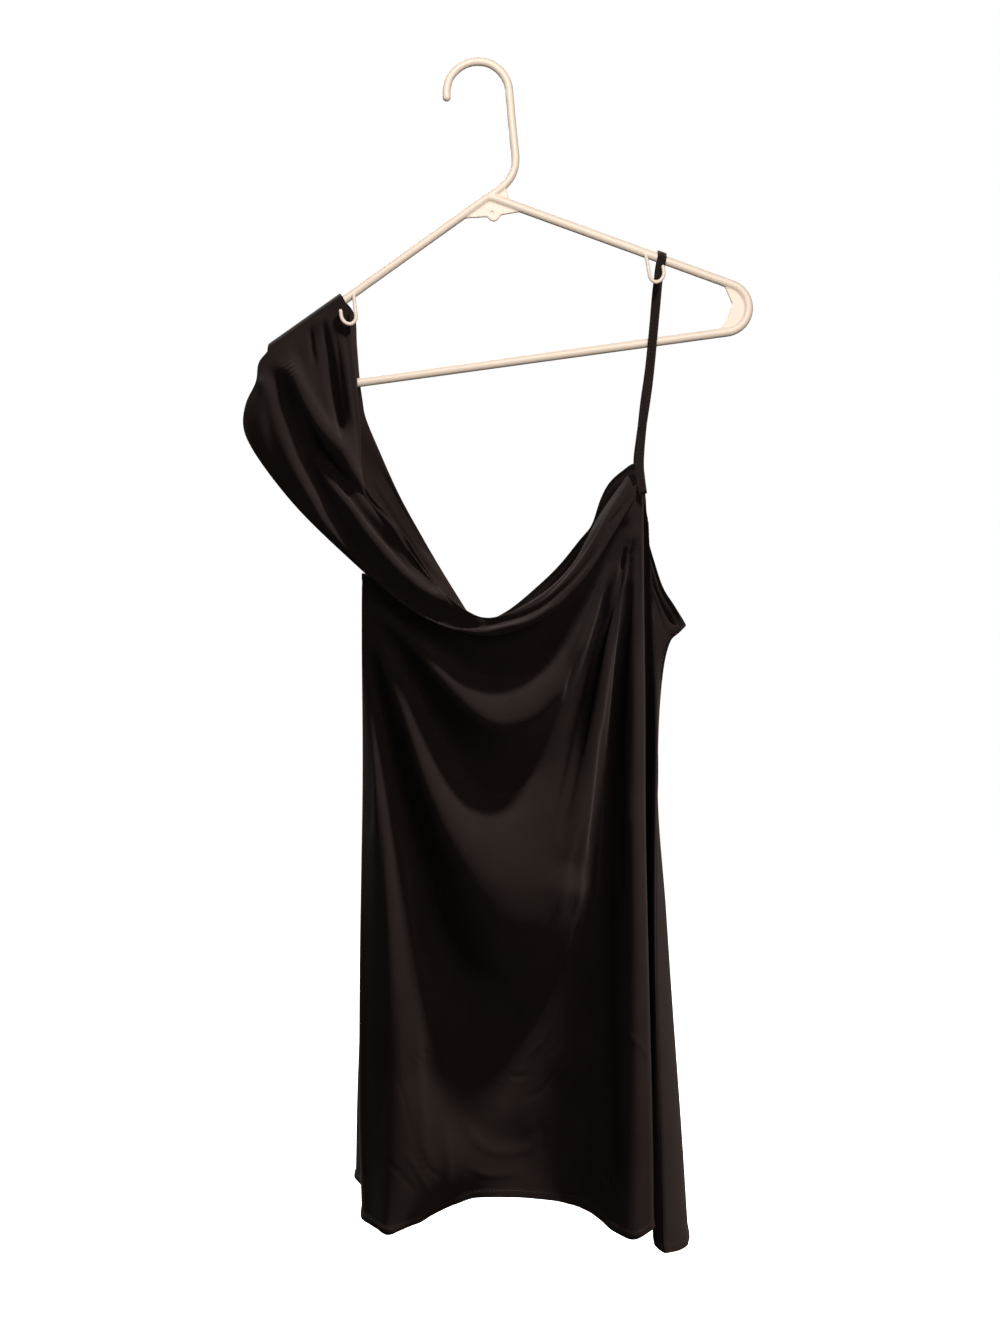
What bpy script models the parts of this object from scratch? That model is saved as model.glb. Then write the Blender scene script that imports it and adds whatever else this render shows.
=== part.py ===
"""Mini dress with one draped shoulder, hung on a plain moulded hanger.

The tables hold millimetres, and the meshes are written in metres with Z up. X runs
to the right as the front of the dress is seen, and Y runs away from the viewer. The
origin is the inside top of the hook, where a rail bears it.

Each piece of cloth is a grid of points on its outer face. The front of the body and
the shoulder drape get their depth from a few fold lines: relief() fits one smooth
face through all of them, so a fold is changed by moving its line.
"""

import math

import bmesh
import bpy
import numpy as np
from mathutils import Matrix

MM = 0.001
NAME = "mini_dress"
CUTTERS = "cutters"

# Cloth
WALL = 1.5
GAP = 0.3
HEM_BAND = 5.5
HEM_RAISE = 0.5
BEHIND_ROLL = 0.9
SLEEVE_ROUND = 3.5
FOLD_SOFTNESS = 4.0
FOLD_EASE = 1.5
LINE_STEP = 11.0

# Hanger
HANGER_TILT = 7.8
TUBE = 3.75
HOOK_TUBE = 3.5
STRAP_HOOK_WIRE = 1.6
WEB_HALF = 1.4
APEX = (-4.1, -108.2)
ARM_SLOPE = 27.5
BAR_DROP = 138.3
HALF_WIDTH = 201
BEND = 20.2
APEX_ROUND = 8.0
TUBE_SIDES = 20

# Strap
STRAP_WIDTH = 7.5
STRAP_THICK = 1.2

# Grid sizes: columns between two named ribs, and rows from top edge to hem
SWAG_COLUMNS = 25
BODY_ROWS = 34
DRAPE_COLUMNS = 15
DRAPE_ROWS = 36
BACK_DRAPE_COLUMNS = 12
BACK_DRAPE_ROWS = 20

# Front folds of the body, each a line along one ridge or trough: x, depth y, height z
BODY_FOLDS = {
    "trough_under_roll": [
        (-80, -14, -440), (-44, -17, -470), (-1, -20, -501), (24, -20, -504), (51, -20, -502),
        (66, -19, -490), (81, -18, -467), (100, -16, -432), (122, -14, -382),
    ],
    "ridge_first_swag": [
        (-82, -16, -449), (-68, -24, -462), (-30, -40, -502), (8, -47, -542), (24, -48, -546),
        (44, -47, -541), (62, -44, -524), (84, -38, -482), (106, -29, -429), (128, -17, -380),
    ],
    "trough_first_swag": [
        (-83, -12, -460), (-58, -13, -490), (-40, -13, -522), (-6, -14, -582), (8, -14, -596),
        (22, -14, -600), (51, -13, -583), (81, -13, -516), (109, -14, -432), (130, -13, -388),
    ],
    "ridge_second_swag": [
        (-83, -17, -474), (-64, -31, -524), (-40, -39, -605), (-7, -45, -686), (16, -47, -716),
        (41, -45, -711), (72, -40, -657), (93, -35, -571), (109, -31, -480), (130, -16, -400),
    ],
    "trough_second_swag": [
        (-86, -9, -492), (-76, -6, -530), (-56, -4, -600), (-33, -2, -675),
        (-6, -1, -762), (22, -1, -845), (38, -2, -886), (57, -3, -876),
        (86, -6, -815), (104, -8, -723), (118, -10, -560), (129, -12, -430),
    ],
    "trough_low_right": [(97, -7, -800), (93, -8, -880), (84, -4, -935)],
    "ridge_left": [
        (-89, -15, -500), (-84, -25, -550), (-78, -34, -604), (-70, -40, -686),
        (-65, -45, -769), (-61, -48, -852), (-66, -50, -915), (-70, -50, -951),
    ],
    "ridge_right": [
        (134, -16, -420), (131, -23, -460), (128, -31, -520), (127, -36, -604),
        (129, -42, -710), (130, -48, -830), (127, -52, -925), (125, -53, -954),
    ],
}

# Upright ribs of the body, as (x, y, z) at six stations from the top edge to the hem
BODY_RIBS = {
    "left_seam": [
        (-91, 0, -421), (-91, 2, -530), (-91, 6, -650), (-92, 12, -770), (-93, 18, -880), (-93, 22, -941),
    ],
    "left_edge": [
        (-93, -10, -421), (-93, -12, -530), (-93, -17, -650),
        (-94, -21, -770), (-93, -24, -880), (-90, -25, -949),
    ],
    "lip": [
        (135, -13, -345), (136, -18, -450), (135, -25, -540),
        (135, -31, -650), (138, -39, -780), (140.5, -45, -950),
    ],
    "channel": [
        (138.5, -11, -358), (139.5, -6, -450), (141, -1, -540),
        (141, 3, -650), (143.5, 6, -780), (146, 8, -940),
    ],
    "fold_wall": [
        (141, -11, -375), (146, -10.5, -470), (147, -14, -540),
        (144.5, -19, -650), (143.5, -28, -780), (145, -37, -964),
    ],
    "side_seam": [
        (171, 1, -465), (155, -6, -484), (149.6, -13, -598),
        (147.5, -24, -700), (148.6, -35, -805), (152.5, -45, -968),
    ],
    "side_front": [
        (174, 4, -463), (158, 5, -482), (151, 6, -598), (158, 5, -700), (165, 2, -810), (175, -8, -973),
    ],
    "side_back": [
        (165, 12, -446), (155, 22, -500), (151, 32, -600),
        (156, 42, -700), (162, 50, -800), (171, 52, -967),
    ],
    "back_right": [
        (110, 26, -345), (108, 38, -470), (106, 50, -600),
        (107, 62, -720), (108, 72, -840), (112, 82, -960),
    ],
    "fold_back_right": [
        (70, 31, -411), (70, 38, -480), (69, 45, -600), (69, 52, -720), (70, 58, -840), (70, 64, -957),
    ],
    "back_centre": [
        (28, 34, -452), (28, 43, -530), (28, 54, -640), (28, 64, -750), (28, 72, -850), (28, 80, -955),
    ],
    "fold_back_left": [
        (-9, 30, -453), (-12, 37, -520), (-12, 45, -640),
        (-12, 52, -750), (-12, 58, -850), (-12, 63, -952),
    ],
    "back_left": [
        (-52, 23, -436.2), (-52, 38, -520), (-52, 50, -640),
        (-52, 60, -750), (-52, 70, -850), (-50, 82, -948),
    ],
    "left_back": [
        (-88, 17, -422.3), (-88, 26, -530), (-89, 38, -650),
        (-92, 48, -770), (-96, 58, -880), (-97, 67, -940),
    ],
    "left_turn": [
        (-93, 9, -421.3), (-94, 15, -530), (-95, 22, -650),
        (-98, 32, -770), (-103, 44, -880), (-105, 54, -936),
    ],
}

# The strips between ribs: first rib, second rib, columns, and which panel they belong to
BODY_STRIPS = [
    ("left_seam", "left_edge", 2, "front"),
    ("left_edge", "lip", SWAG_COLUMNS, "front"),
    ("lip", "channel", 2, "front"),
    ("channel", "fold_wall", 2, "front"),
    ("fold_wall", "side_seam", 3, "front"),
    ("side_seam", "side_front", 2, "back"),
    ("side_front", "side_back", 2, "back"),
    ("side_back", "back_right", 8, "back"),
    ("back_right", "fold_back_right", 3, "back"),
    ("fold_back_right", "back_centre", 3, "back"),
    ("back_centre", "fold_back_left", 3, "back"),
    ("fold_back_left", "back_left", 3, "back"),
    ("back_left", "left_back", 3, "back"),
    ("left_back", "left_turn", 1, "back"),
    ("left_turn", "left_seam", 2, "back"),
]

# The strips whose top edge follows BACK_TOP, by their first rib
BACK_NECK_STRIPS = ("side_back", "back_right", "fold_back_right", "back_centre", "fold_back_left")

# Edges of the front panel: its top behind the cowl roll, its armhole and its hem, each x, z
FRONT_TOP = [
    (-93, -421), (-77, -432), (-60, -443), (-44, -454.5), (-28, -463.5), (-12, -467.5),
    (6, -467), (36, -459.5), (69, -443.5), (93, -419), (112, -386.5), (124, -361), (135, -345),
]
FRONT_ARMHOLE = [(141, -375), (142.5, -400), (144, -425), (150, -442), (156, -455), (162, -463), (171, -465)]
FRONT_HEM = [
    (-90, -949), (-70, -951.5), (-60, -952), (-46, -952.5), (-30, -948.5), (-15, -943), (0, -939.5),
    (37, -939.5), (70, -941.5), (93, -943.5), (101, -946), (110, -950.5), (127, -955), (140.5, -950),
]
# Depth of the front hem: x, y
HEM_DEPTH = [
    (-90, -25), (-70, -50), (-46, -15), (-30, 0), (0, 7), (38, 8),
    (70, 2), (94, -19), (111, -42), (127, -53), (140.5, -45),
]
# Top edge of the back panel, from the left seam along the neckline and down the armhole: x, z
BACK_TOP = [
    (-93, -421.5), (-52, -436.2), (-8, -452.5), (7, -458.5), (24, -452), (56, -426),
    (71, -411), (88, -390), (97, -379), (105, -356), (112, -343), (123, -333),
    (134, -327), (141, -345), (143, -385), (149, -409), (157, -433), (165, -446),
]

# Shoulder drape and cowl roll: outer and inner edge, (x, y, z) each, from the arm down
FRONT_DRAPE_EDGES = [
    ((-178.5, -6.6, -246), (-106, -6.6, -202)),
    ((-180.5, -8, -262), (-103, -7, -225)),
    ((-188.5, -9.5, -280), (-99, -8, -250)),
    ((-191.3, -10.5, -298), (-97, -9, -276)),
    ((-186, -12, -314), (-95, -10, -302)),
    ((-152, -16, -361), (-90, -16, -351)),
    ((-106, -20, -407), (-63, -26, -384)),
    ((-61, -34, -445), (-32, -34, -430)),
    ((-24, -42, -465), (-11, -40, -451)),
    ((12, -45, -473), (12, -42, -459)),
    ((56, -44, -458), (52, -40, -440)),
    ((88, -37, -426), (78, -33, -415)),
    ((112, -27, -389), (101, -23, -374)),
    ((131.5, -17.5, -357), (124.5, -15.5, -341)),
]
# Folds of the front and back drape, as ridges and valleys: x, y, z
DRAPE_FOLDS = {
    "ridge_outer": [
        (-176, -13, -262), (-160, -19, -302), (-145, -22, -335), (-120, -27, -385),
        (-95, -31, -412), (-65, -42, -441), (-30, -47, -463), (12, -49.5, -470),
        (54, -49, -453), (87, -42, -423), (111, -32, -386), (129, -20, -352),
    ],
    "valley_main": [
        (-168, -8.5, -258), (-150, -10, -295), (-138, -12, -335), (-118, -16, -374),
        (-95, -22, -408), (-62, -33, -439), (-25, -40, -460), (4, -43, -464), (38, -43, -456),
        (66, -40, -440), (94, -32, -410), (112, -24, -382), (129, -17, -350),
    ],
    "ridge_middle": [
        (-128, -21, -335), (-104, -28, -366), (-80, -34, -398),
        (-55, -42, -424), (-30, -45, -438), (4, -48, -461),
    ],
    "valley_inner": [
        (-129, -12, -310), (-104, -17, -343), (-75, -25, -380), (-46, -33, -414), (-31, -38, -435),
    ],
    "ridge_inner": [
        (-160, -12, -252), (-132, -21, -296), (-102, -26, -334), (-80, -32, -364),
        (-62, -36, -386), (-36, -44, -418), (-12, -47, -449), (20, -47, -457),
        (54, -47, -443), (80, -42, -416), (102, -33, -379), (125, -20, -345),
    ],
    "valley_neck": [(-128, -8, -211), (-122, -8.5, -236), (-116, -10, -276), (-112, -12, -302)],
    "ridge_neck": [
        (-113, -7, -206), (-106, -7.6, -222), (-103, -11, -240),
        (-99, -14, -276), (-97, -15, -310), (-94, -20, -345),
    ],
}
BACK_DRAPE_FOLDS = {
    "ridge_back_outer": [(-172, 14, -275), (-152, 19, -318), (-126, 21, -362), (-104, 20, -394)],
    "valley_back": [(-158, 8.5, -262), (-138, 11, -305), (-108, 14, -356), (-80, 18, -398)],
    "ridge_back_inner": [(-128, 13, -255), (-110, 18, -300), (-82, 22, -350), (-50, 26, -400)],
}
# The back drape's outer and inner edge, as for the front
BACK_DRAPE_EDGES = [
    ((-178.5, 6.6, -246), (-102, 6.6, -204)),
    ((-180, 8, -262), (-99.5, 7, -232)),
    ((-187, 9, -281), (-97, 8, -262)),
    ((-189.5, 10, -298), (-95, 8.5, -276)),
    ((-184, 11, -314), (-93, 9, -288)),
    ((-150, 14, -361), (-80, 12, -320)),
    ((-127, 15, -386), (-64, 16, -355)),
    ((-108, 16, -405), (-47, 21, -386)),
    ((-98, 16.5, -414), (-30.5, 25, -415)),
    ((-92, 17, -420.6), (-8, 29.5, -451.4)),
]

# Hook centreline and the small moulded plates, in the hanger's own upright frame: x, z.
# The end web and the strap hook are measured from the middle of the hanger, for both sides.
HOOK_LINE = [
    (-27.6, -22), (-27.2, -17), (-22.9, -6.5), (-15, 0.4), (-6.3, 3.7), (2.4, 3.8),
    (11.8, 0.6), (19.7, -7), (24, -17), (24.1, -29), (23.2, -48), (22.6, -65),
    (21.8, -81), (19.4, -89.2), (14.2, -96.8), (6.2, -103), (-4.1, -108.4), (-13, -113),
]
UPPER_WEB = [(3, -105), (9, -101.5), (11.3, -104.6), (12, -113.4), (0, -110)]
GUSSET = [
    (-41, -125.3), (-25.3, -123.6), (-8, -124.9), (-5.6, -128.1), (-2.4, -129.6),
    (0.8, -128.1), (3.6, -125), (19.7, -124.4), (12, -117), (-4.1, -109), (-22, -117),
]
GUSSET_HOLE = (-3.4, -122, 1.1)
END_WEB = [
    (178, -203), (183.6, -208.9), (187.6, -223.6), (182.1, -235.4),
    (173.6, -244.5), (186, -246), (201, -237), (202, -218), (190, -207),
]
STRAP_HOOK = [
    (121.9, -171), (121.9, -183), (122, -190), (122.6, -196),
    (126.6, -199.4), (131, -198), (133.7, -194), (134, -187.5),
]
STRAP_HOOK_DEPTH = -9.6

# Arm centreline where the drape lies over it: x, z at the sleeve end and at the neck end
DRAPE_ON_ARM = ((-172, -236.9), (-110, -193))

# Inner face of the strap as it hangs, from the front up to the arm and down the back: x, y, z
STRAP_FRONT = [
    (136.8, -15.3, -356), (135.4, -14.4, -345), (134.4, -12.6, -331), (138.4, -9, -286),
    (143.1, -6.6, -252.7), (146.6, -5.2, -219.4), (149.6, -4.5, -186), (152.2, -4.2, -168),
]
STRAP_ON_ARM = (153.9, -159.1)
STRAP_BACK = [
    (152.4, 4.3, -168), (149, 6, -205), (144, 11, -260),
    (138, 18.5, -305), (136, 22.1, -325), (137, 21.6, -338),
]

COLOURS = {
    "front_panel": (0.030, 0.024, 0.022), "back_panel": (0.028, 0.023, 0.021),
    "front_drape": (0.032, 0.026, 0.023), "back_drape": (0.028, 0.022, 0.020),
    "strap": (0.034, 0.027, 0.024), "hanger": (0.80, 0.72, 0.66),
}


def spline(points, count):
    """Even points along a smooth curve through the given ones."""
    p = np.asarray(points, float)
    if len(p) == 2:
        return p[0] + np.linspace(0, 1, count)[:, None] * (p[1] - p[0])
    before, after = 2 * p[0] - p[1], 2 * p[-1] - p[-2]
    q = np.vstack([before, p, after])
    knots = np.concatenate([[0], np.cumsum(np.sqrt(np.linalg.norm(np.diff(q, axis=0), axis=1)))])
    fine = []
    for i in range(1, len(q) - 2):
        t0, t1, t2, t3 = knots[i - 1:i + 3]
        t = np.linspace(t1, t2, 17)[:, None]
        a1 = (t1 - t) / (t1 - t0) * q[i - 1] + (t - t0) / (t1 - t0) * q[i]
        a2 = (t2 - t) / (t2 - t1) * q[i] + (t - t1) / (t2 - t1) * q[i + 1]
        a3 = (t3 - t) / (t3 - t2) * q[i + 1] + (t - t2) / (t3 - t2) * q[i + 2]
        b1 = (t2 - t) / (t2 - t0) * a1 + (t - t0) / (t2 - t0) * a2
        b2 = (t3 - t) / (t3 - t1) * a2 + (t - t1) / (t3 - t1) * a3
        fine.append((t2 - t) / (t2 - t1) * b1 + (t - t1) / (t2 - t1) * b2)
    dense = np.vstack(fine)
    run = np.concatenate([[0], np.cumsum(np.linalg.norm(np.diff(dense, axis=0), axis=1))])
    at = np.linspace(0, run[-1], count)
    return np.column_stack([np.interp(at, run, dense[:, k]) for k in range(p.shape[1])])


def length(points):
    """Length of a line of points."""
    return float(np.linalg.norm(np.diff(np.asarray(points, float), axis=0), axis=1).sum())


def relief(lines):
    """A smooth face through all the fold lines, as a function that gives depth y at x, z."""
    dots = np.vstack([spline(line, max(3, int(length(line) / LINE_STEP))) for line in lines])
    flat = dots[:, [0, 2]]
    far = np.linalg.norm(flat[:, None] - flat[None], axis=2)
    count = len(dots)
    system = np.ones((count + 1, count + 1))
    system[:count, :count] = np.sqrt(far ** 2 + FOLD_SOFTNESS ** 2) - FOLD_EASE * np.eye(count)
    system[count, count] = 0
    weights = np.linalg.solve(system, np.append(dots[:, 1], 0))

    def depth(x, z):
        where = np.stack([np.asarray(x, float), np.asarray(z, float)], axis=-1)
        away = np.linalg.norm(where[..., None, :] - flat, axis=-1)
        return np.sqrt(away ** 2 + FOLD_SOFTNESS ** 2) @ weights[:count] + weights[count]

    return depth


def at_height(rib, z):
    """The x and y of a rib at the given heights."""
    dense = spline(rib, 80)[::-1]
    return np.interp(z, dense[:, 2], dense[:, 0]), np.interp(z, dense[:, 2], dense[:, 1])


def edge_height(edge, x):
    """Height of an edge, given as x and z, at the given x."""
    dense = spline(edge, 120)
    order = np.argsort(dense[:, 0])
    return np.interp(x, dense[order, 0], dense[order, 1])


def off_arm():
    """The direction that points straight up off the arm under the drape."""
    (x0, z0), (x1, z1) = DRAPE_ON_ARM
    return unit(np.array([z0 - z1, 0.0, x1 - x0]))


def over_arm(side):
    """Outer and inner edge of the rows that wrap the arm, from its top to its widest point."""
    reach = TUBE + GAP + WALL
    rows = []
    for angle in np.radians([0, 30, 60, 90]):
        y = side * max(reach * math.sin(angle), GAP / 2)
        lift = off_arm() * reach * math.cos(angle)
        sleeve_end, neck_end = [np.array([x, y, z]) + lift for x, z in DRAPE_ON_ARM]
        sleeve_end[0] += SLEEVE_ROUND * math.cos(angle)
        sleeve_end[2] += SLEEVE_ROUND * math.cos(angle) * 0.7
        rows.append([sleeve_end, neck_end])
    return np.array(rows)


def drape_sections(edges, rows):
    """Outer and inner edge of a drape, resampled to the number of rows."""
    wrap = over_arm(1 if edges[0][0][1] > 0 else -1)
    ends = []
    for k in (0, 1):
        rest = spline([wrap[-1, k]] + [edge[k] for edge in edges], rows - len(wrap) + 1)
        ends.append(np.vstack([wrap[:, k], rest[1:]]))
    return ends


def drape_grid(edges, folds, rows, columns):
    """Rows from the shoulder down, columns from the outer edge to the neck edge."""
    outer, inner = drape_sections(edges, rows)
    share = np.linspace(0, 1, columns)[None, :, None]
    grid = outer[:, None] * (1 - share) + inner[:, None] * share
    depth = drape_depth(edges, folds, rows)
    grid[4:, :, 1] = depth(grid[4:, :, 0], grid[4:, :, 2])
    return grid


def drape_depth(edges, folds, rows):
    """Depth of a drape: through its two edges and its ridges and valleys."""
    outer, inner = drape_sections(edges, rows)
    ends = [np.array([outer[3], inner[3]])]
    if edges is BACK_DRAPE_EDGES:
        ends.append(np.array([outer[-1], inner[-1]]))
    return relief([outer[3:], inner[3:]] + ends + list(folds.values()))


def row_heights(top, low):
    """Heights of one column from its top edge to the hem, with close rows for the turned hem."""
    even = np.linspace(top, low, BODY_ROWS - 2)[:-1]
    return np.concatenate([even, [low + HEM_BAND + 1, low + HEM_BAND, low]])


def behind_roll(depth, over):
    """The same depth, kept behind the cowl roll wherever the roll covers the panel."""
    low_edge = [edge[0] for edge in FRONT_DRAPE_EDGES[4:]]
    low = np.array([(x, z) for x, y, z in low_edge])

    def kept(x, z):
        edge = edge_height(low, x)
        inside = np.clip((z - edge + 6) / 6, 0, 1)
        limit = over(x, np.maximum(z, edge)) + WALL + BEHIND_ROLL - 5 * (1 - inside)
        return np.where(inside > 0, np.maximum(depth(x, z), limit), depth(x, z))

    return kept


def body_columns():
    """Points of the whole body ring, one column after the other, and each column's panel."""
    lines = [spline(fold, 40) for fold in BODY_FOLDS.values()]
    over = drape_depth(FRONT_DRAPE_EDGES, DRAPE_FOLDS, DRAPE_ROWS)
    top_x = np.linspace(-93, 133, 26)
    top_z = edge_height(FRONT_TOP, top_x)
    behind = over(top_x, top_z) + WALL + BEHIND_ROLL
    lines.append(np.column_stack([top_x, behind, top_z]))
    hem_x = np.linspace(-90, 140.5, 24)
    hem_z = edge_height(FRONT_HEM, hem_x)
    hem_y = np.interp(hem_x, *zip(*HEM_DEPTH))
    lines.append(np.column_stack([hem_x, hem_y, hem_z]))
    lines.append(spline(BODY_RIBS["left_edge"], 40))
    lines.append(spline(BODY_RIBS["lip"], 40))
    depth = behind_roll(relief(lines), over)

    names = list(BODY_RIBS)
    columns, panels = [], []
    for first, second, count, panel in BODY_STRIPS:
        for k in range(count):
            columns.append(body_column(names, first, second, k / count, depth))
            panels.append(panel)
    return np.array(columns), panels


def body_column(names, first, second, share, depth):
    """One upright line of points between two ribs."""
    swag = first == "left_edge" and share > 0
    around = [names.index(first) - 1, names.index(first), names.index(second), names.index(second) + 1]
    four = [np.array(BODY_RIBS[names[i % len(names)]], float) for i in around]
    if swag:
        (x0, _, _), (x1, _, _) = four[1][0], four[2][0]
        (low0, _, _), (low1, _, _) = four[1][-1], four[2][-1]
        top = edge_height(FRONT_TOP, x0 + (x1 - x0) * share)
        low = edge_height(FRONT_HEM, low0 + (low1 - low0) * share)
        z = row_heights(top, low)
        left, _ = at_height(four[1], z)
        right, _ = at_height(four[2], z)
        x = left + (right - left) * share
        return np.column_stack([x, depth(x, z), z])
    line = blend(four, share)
    if first == "fold_wall" and share > 0:
        line[0, 2] = edge_height(FRONT_ARMHOLE, line[0, 0])
    if first in BACK_NECK_STRIPS:
        line[0, 2] = edge_height(BACK_TOP, line[0, 0])
    z = row_heights(line[0, 2], line[-1, 2])
    x, y = at_height(line, z)
    return np.column_stack([x, y, z])


def blend(four, t):
    """Cubic through four ribs, between the second and the third."""
    a, b, c, d = four
    size = [np.linalg.norm(q - p, axis=1)[:, None] + 1e-9 for p, q in ((a, b), (b, c), (c, d))]
    start = (c - b) * 0.5 + (b - a) * 0.5 * np.minimum(size[1] / size[0], 1)
    end = (c - b) * 0.5 + (d - c) * 0.5 * np.minimum(size[1] / size[2], 1)
    h = (2 * t ** 3 - 3 * t ** 2 + 1, t ** 3 - 2 * t ** 2 + t, -2 * t ** 3 + 3 * t ** 2, t ** 3 - t ** 2)
    return h[0] * b + h[1] * start + h[2] * c + h[3] * end


def unit(v):
    """The vectors at length one."""
    return v / np.maximum(np.linalg.norm(v, axis=-1, keepdims=True), 1e-9)


def grid_normals(grid, ring=False):
    """Normals of a grid of points; with ring, the first axis closes on itself."""
    if ring:
        along = np.roll(grid, -1, axis=0) - np.roll(grid, 1, axis=0)
    else:
        along = np.gradient(grid, axis=0)
    across = np.gradient(grid, axis=1)
    return -unit(np.cross(unit(along), unit(across)))


def place(name, body, group):
    """Turns a bmesh into an object of a collection, with its faces facing out."""
    bmesh.ops.recalc_face_normals(body, faces=body.faces)
    mesh = bpy.data.meshes.new(name)
    body.to_mesh(mesh)
    body.free()
    mesh.polygons.foreach_set("use_smooth", [True] * len(mesh.polygons))
    obj = bpy.data.objects.new(name, mesh)
    bpy.data.collections[group].objects.link(obj)
    return obj


def solid(name, points, faces, group=NAME):
    """An object from points in millimetres; the dress's own pieces get their material."""
    body = bmesh.new()
    corners = [body.verts.new(p) for p in np.asarray(points) * MM]
    for face in faces:
        body.faces.new([corners[i] for i in face])
    obj = place(name, body, group)
    if group == NAME:
        paint(obj)
    return obj


def paint(obj):
    """Gives an object its own plain material."""
    material = bpy.data.materials.new(obj.name)
    material.use_nodes = True
    shader = material.node_tree.nodes["Principled BSDF"]
    shader.inputs["Base Color"].default_value = (*COLOURS[obj.name], 1)
    shader.inputs["Roughness"].default_value = 0.4 if obj.name.startswith("hanger") else 0.8
    obj.data.materials.clear()
    obj.data.materials.append(material)


def shell(name, outer, inner):
    """Closes two grids, outer face and inner face, round their rim."""
    rows, columns = outer.shape[:2]
    points = np.vstack([outer.reshape(-1, 3), inner.reshape(-1, 3)])
    far = rows * columns

    def at(i, j, side=0):
        return i * columns + j + side * far

    faces = []
    for i in range(rows - 1):
        for j in range(columns - 1):
            faces.append((at(i, j), at(i + 1, j), at(i + 1, j + 1), at(i, j + 1)))
            faces.append((at(i, j, 1), at(i, j + 1, 1), at(i + 1, j + 1, 1), at(i + 1, j, 1)))
    rim = [(i, 0) for i in range(rows)] + [(rows - 1, j) for j in range(1, columns)]
    rim += [(i, columns - 1) for i in range(rows - 2, -1, -1)] + [(0, j) for j in range(columns - 2, 0, -1)]
    for (i, j), (k, m) in zip(rim, rim[1:] + rim[:1]):
        faces.append((at(i, j), at(i, j, 1), at(k, m, 1), at(k, m)))
    return solid(name, points, faces)


def tube(path, radius, sides, closed=False, plane=(0, 1, 0)):
    """Points and faces of a round tube along a path that lies near one upright plane."""
    path = np.asarray(path, float)
    if closed:
        along = unit(np.roll(path, -1, axis=0) - np.roll(path, 1, axis=0))
    else:
        along = unit(np.gradient(path, axis=0))
    out = unit(np.cross(along, np.array(plane, float)))
    up = unit(np.cross(out, along))
    angle = np.linspace(0, 2 * math.pi, sides, endpoint=False)
    radius = np.broadcast_to(np.asarray(radius, float), (len(path),))
    ring = np.cos(angle)[None, :, None] * out[:, None] + np.sin(angle)[None, :, None] * up[:, None]
    points = path[:, None] + ring * radius[:, None, None]
    count = len(path)
    faces = []
    for i in range(count if closed else count - 1):
        k = (i + 1) % count
        for j in range(sides):
            m = (j + 1) % sides
            faces.append((i * sides + j, i * sides + m, k * sides + m, k * sides + j))
    points = points.reshape(-1, 3)
    if not closed:
        faces.append(tuple(range(sides - 1, -1, -1)))
        faces.append(tuple((count - 1) * sides + j for j in range(sides)))
    return points, faces


def rounded_end(path, radius, steps=4):
    """A path with the close points its rounded first end needs, and the radius at each."""
    path = np.asarray(path, float)
    run = np.concatenate([[0], np.cumsum(np.linalg.norm(np.diff(path, axis=0), axis=1))])
    ends = radius * (1 - np.cos(np.linspace(0.35, math.pi / 2, steps)))
    at = np.concatenate([ends, run[run > radius * 1.1]])
    points = np.column_stack([np.interp(at, run, path[:, k]) for k in range(3)])
    size = np.where(at < radius, np.sqrt(np.maximum(radius ** 2 - (radius - at) ** 2, 0)), radius)
    return points, size


def frame_path():
    """Centreline of arms, end bends and bar, round the whole frame."""
    slope = math.radians(ARM_SLOPE)
    apex_x, apex_z = APEX
    centre = HALF_WIDTH - BEND, apex_z - BAR_DROP + BEND
    turn = np.linspace(math.pi / 2 - slope, -math.pi / 2, 12)
    right = [(centre[0] + BEND * math.cos(a), centre[1] + BEND * math.sin(a)) for a in turn]
    drop = apex_z - APEX_ROUND / math.cos(slope)
    top = [(APEX_ROUND * math.sin(a), drop + APEX_ROUND * math.cos(a)) for a in np.linspace(-slope, slope, 5)]
    path = top + right + [(-x, z) for x, z in right[::-1]]
    return np.array([(apex_x + x, 0, z) for x, z in path])


def plate(name, outline, half):
    """A flat plate between -half and half in depth."""
    body = bmesh.new()
    face = body.faces.new([body.verts.new((x * MM, -half * MM, z * MM)) for x, z in outline])
    made = bmesh.ops.extrude_face_region(body, geom=[face])
    back = [v for v in made["geom"] if isinstance(v, bmesh.types.BMVert)]
    bmesh.ops.translate(body, vec=(0, 2 * half * MM, 0), verts=back)
    return place(name, body, CUTTERS)


def join(target, others, operation="UNION"):
    """Joins other bodies to one, or cuts them out of it."""
    for other in others:
        other.hide_render = True
        other.display_type = "WIRE"
        step = target.modifiers.new(other.name, "BOOLEAN")
        step.operation = operation
        step.solver = "EXACT"
        step.object = other


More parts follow.
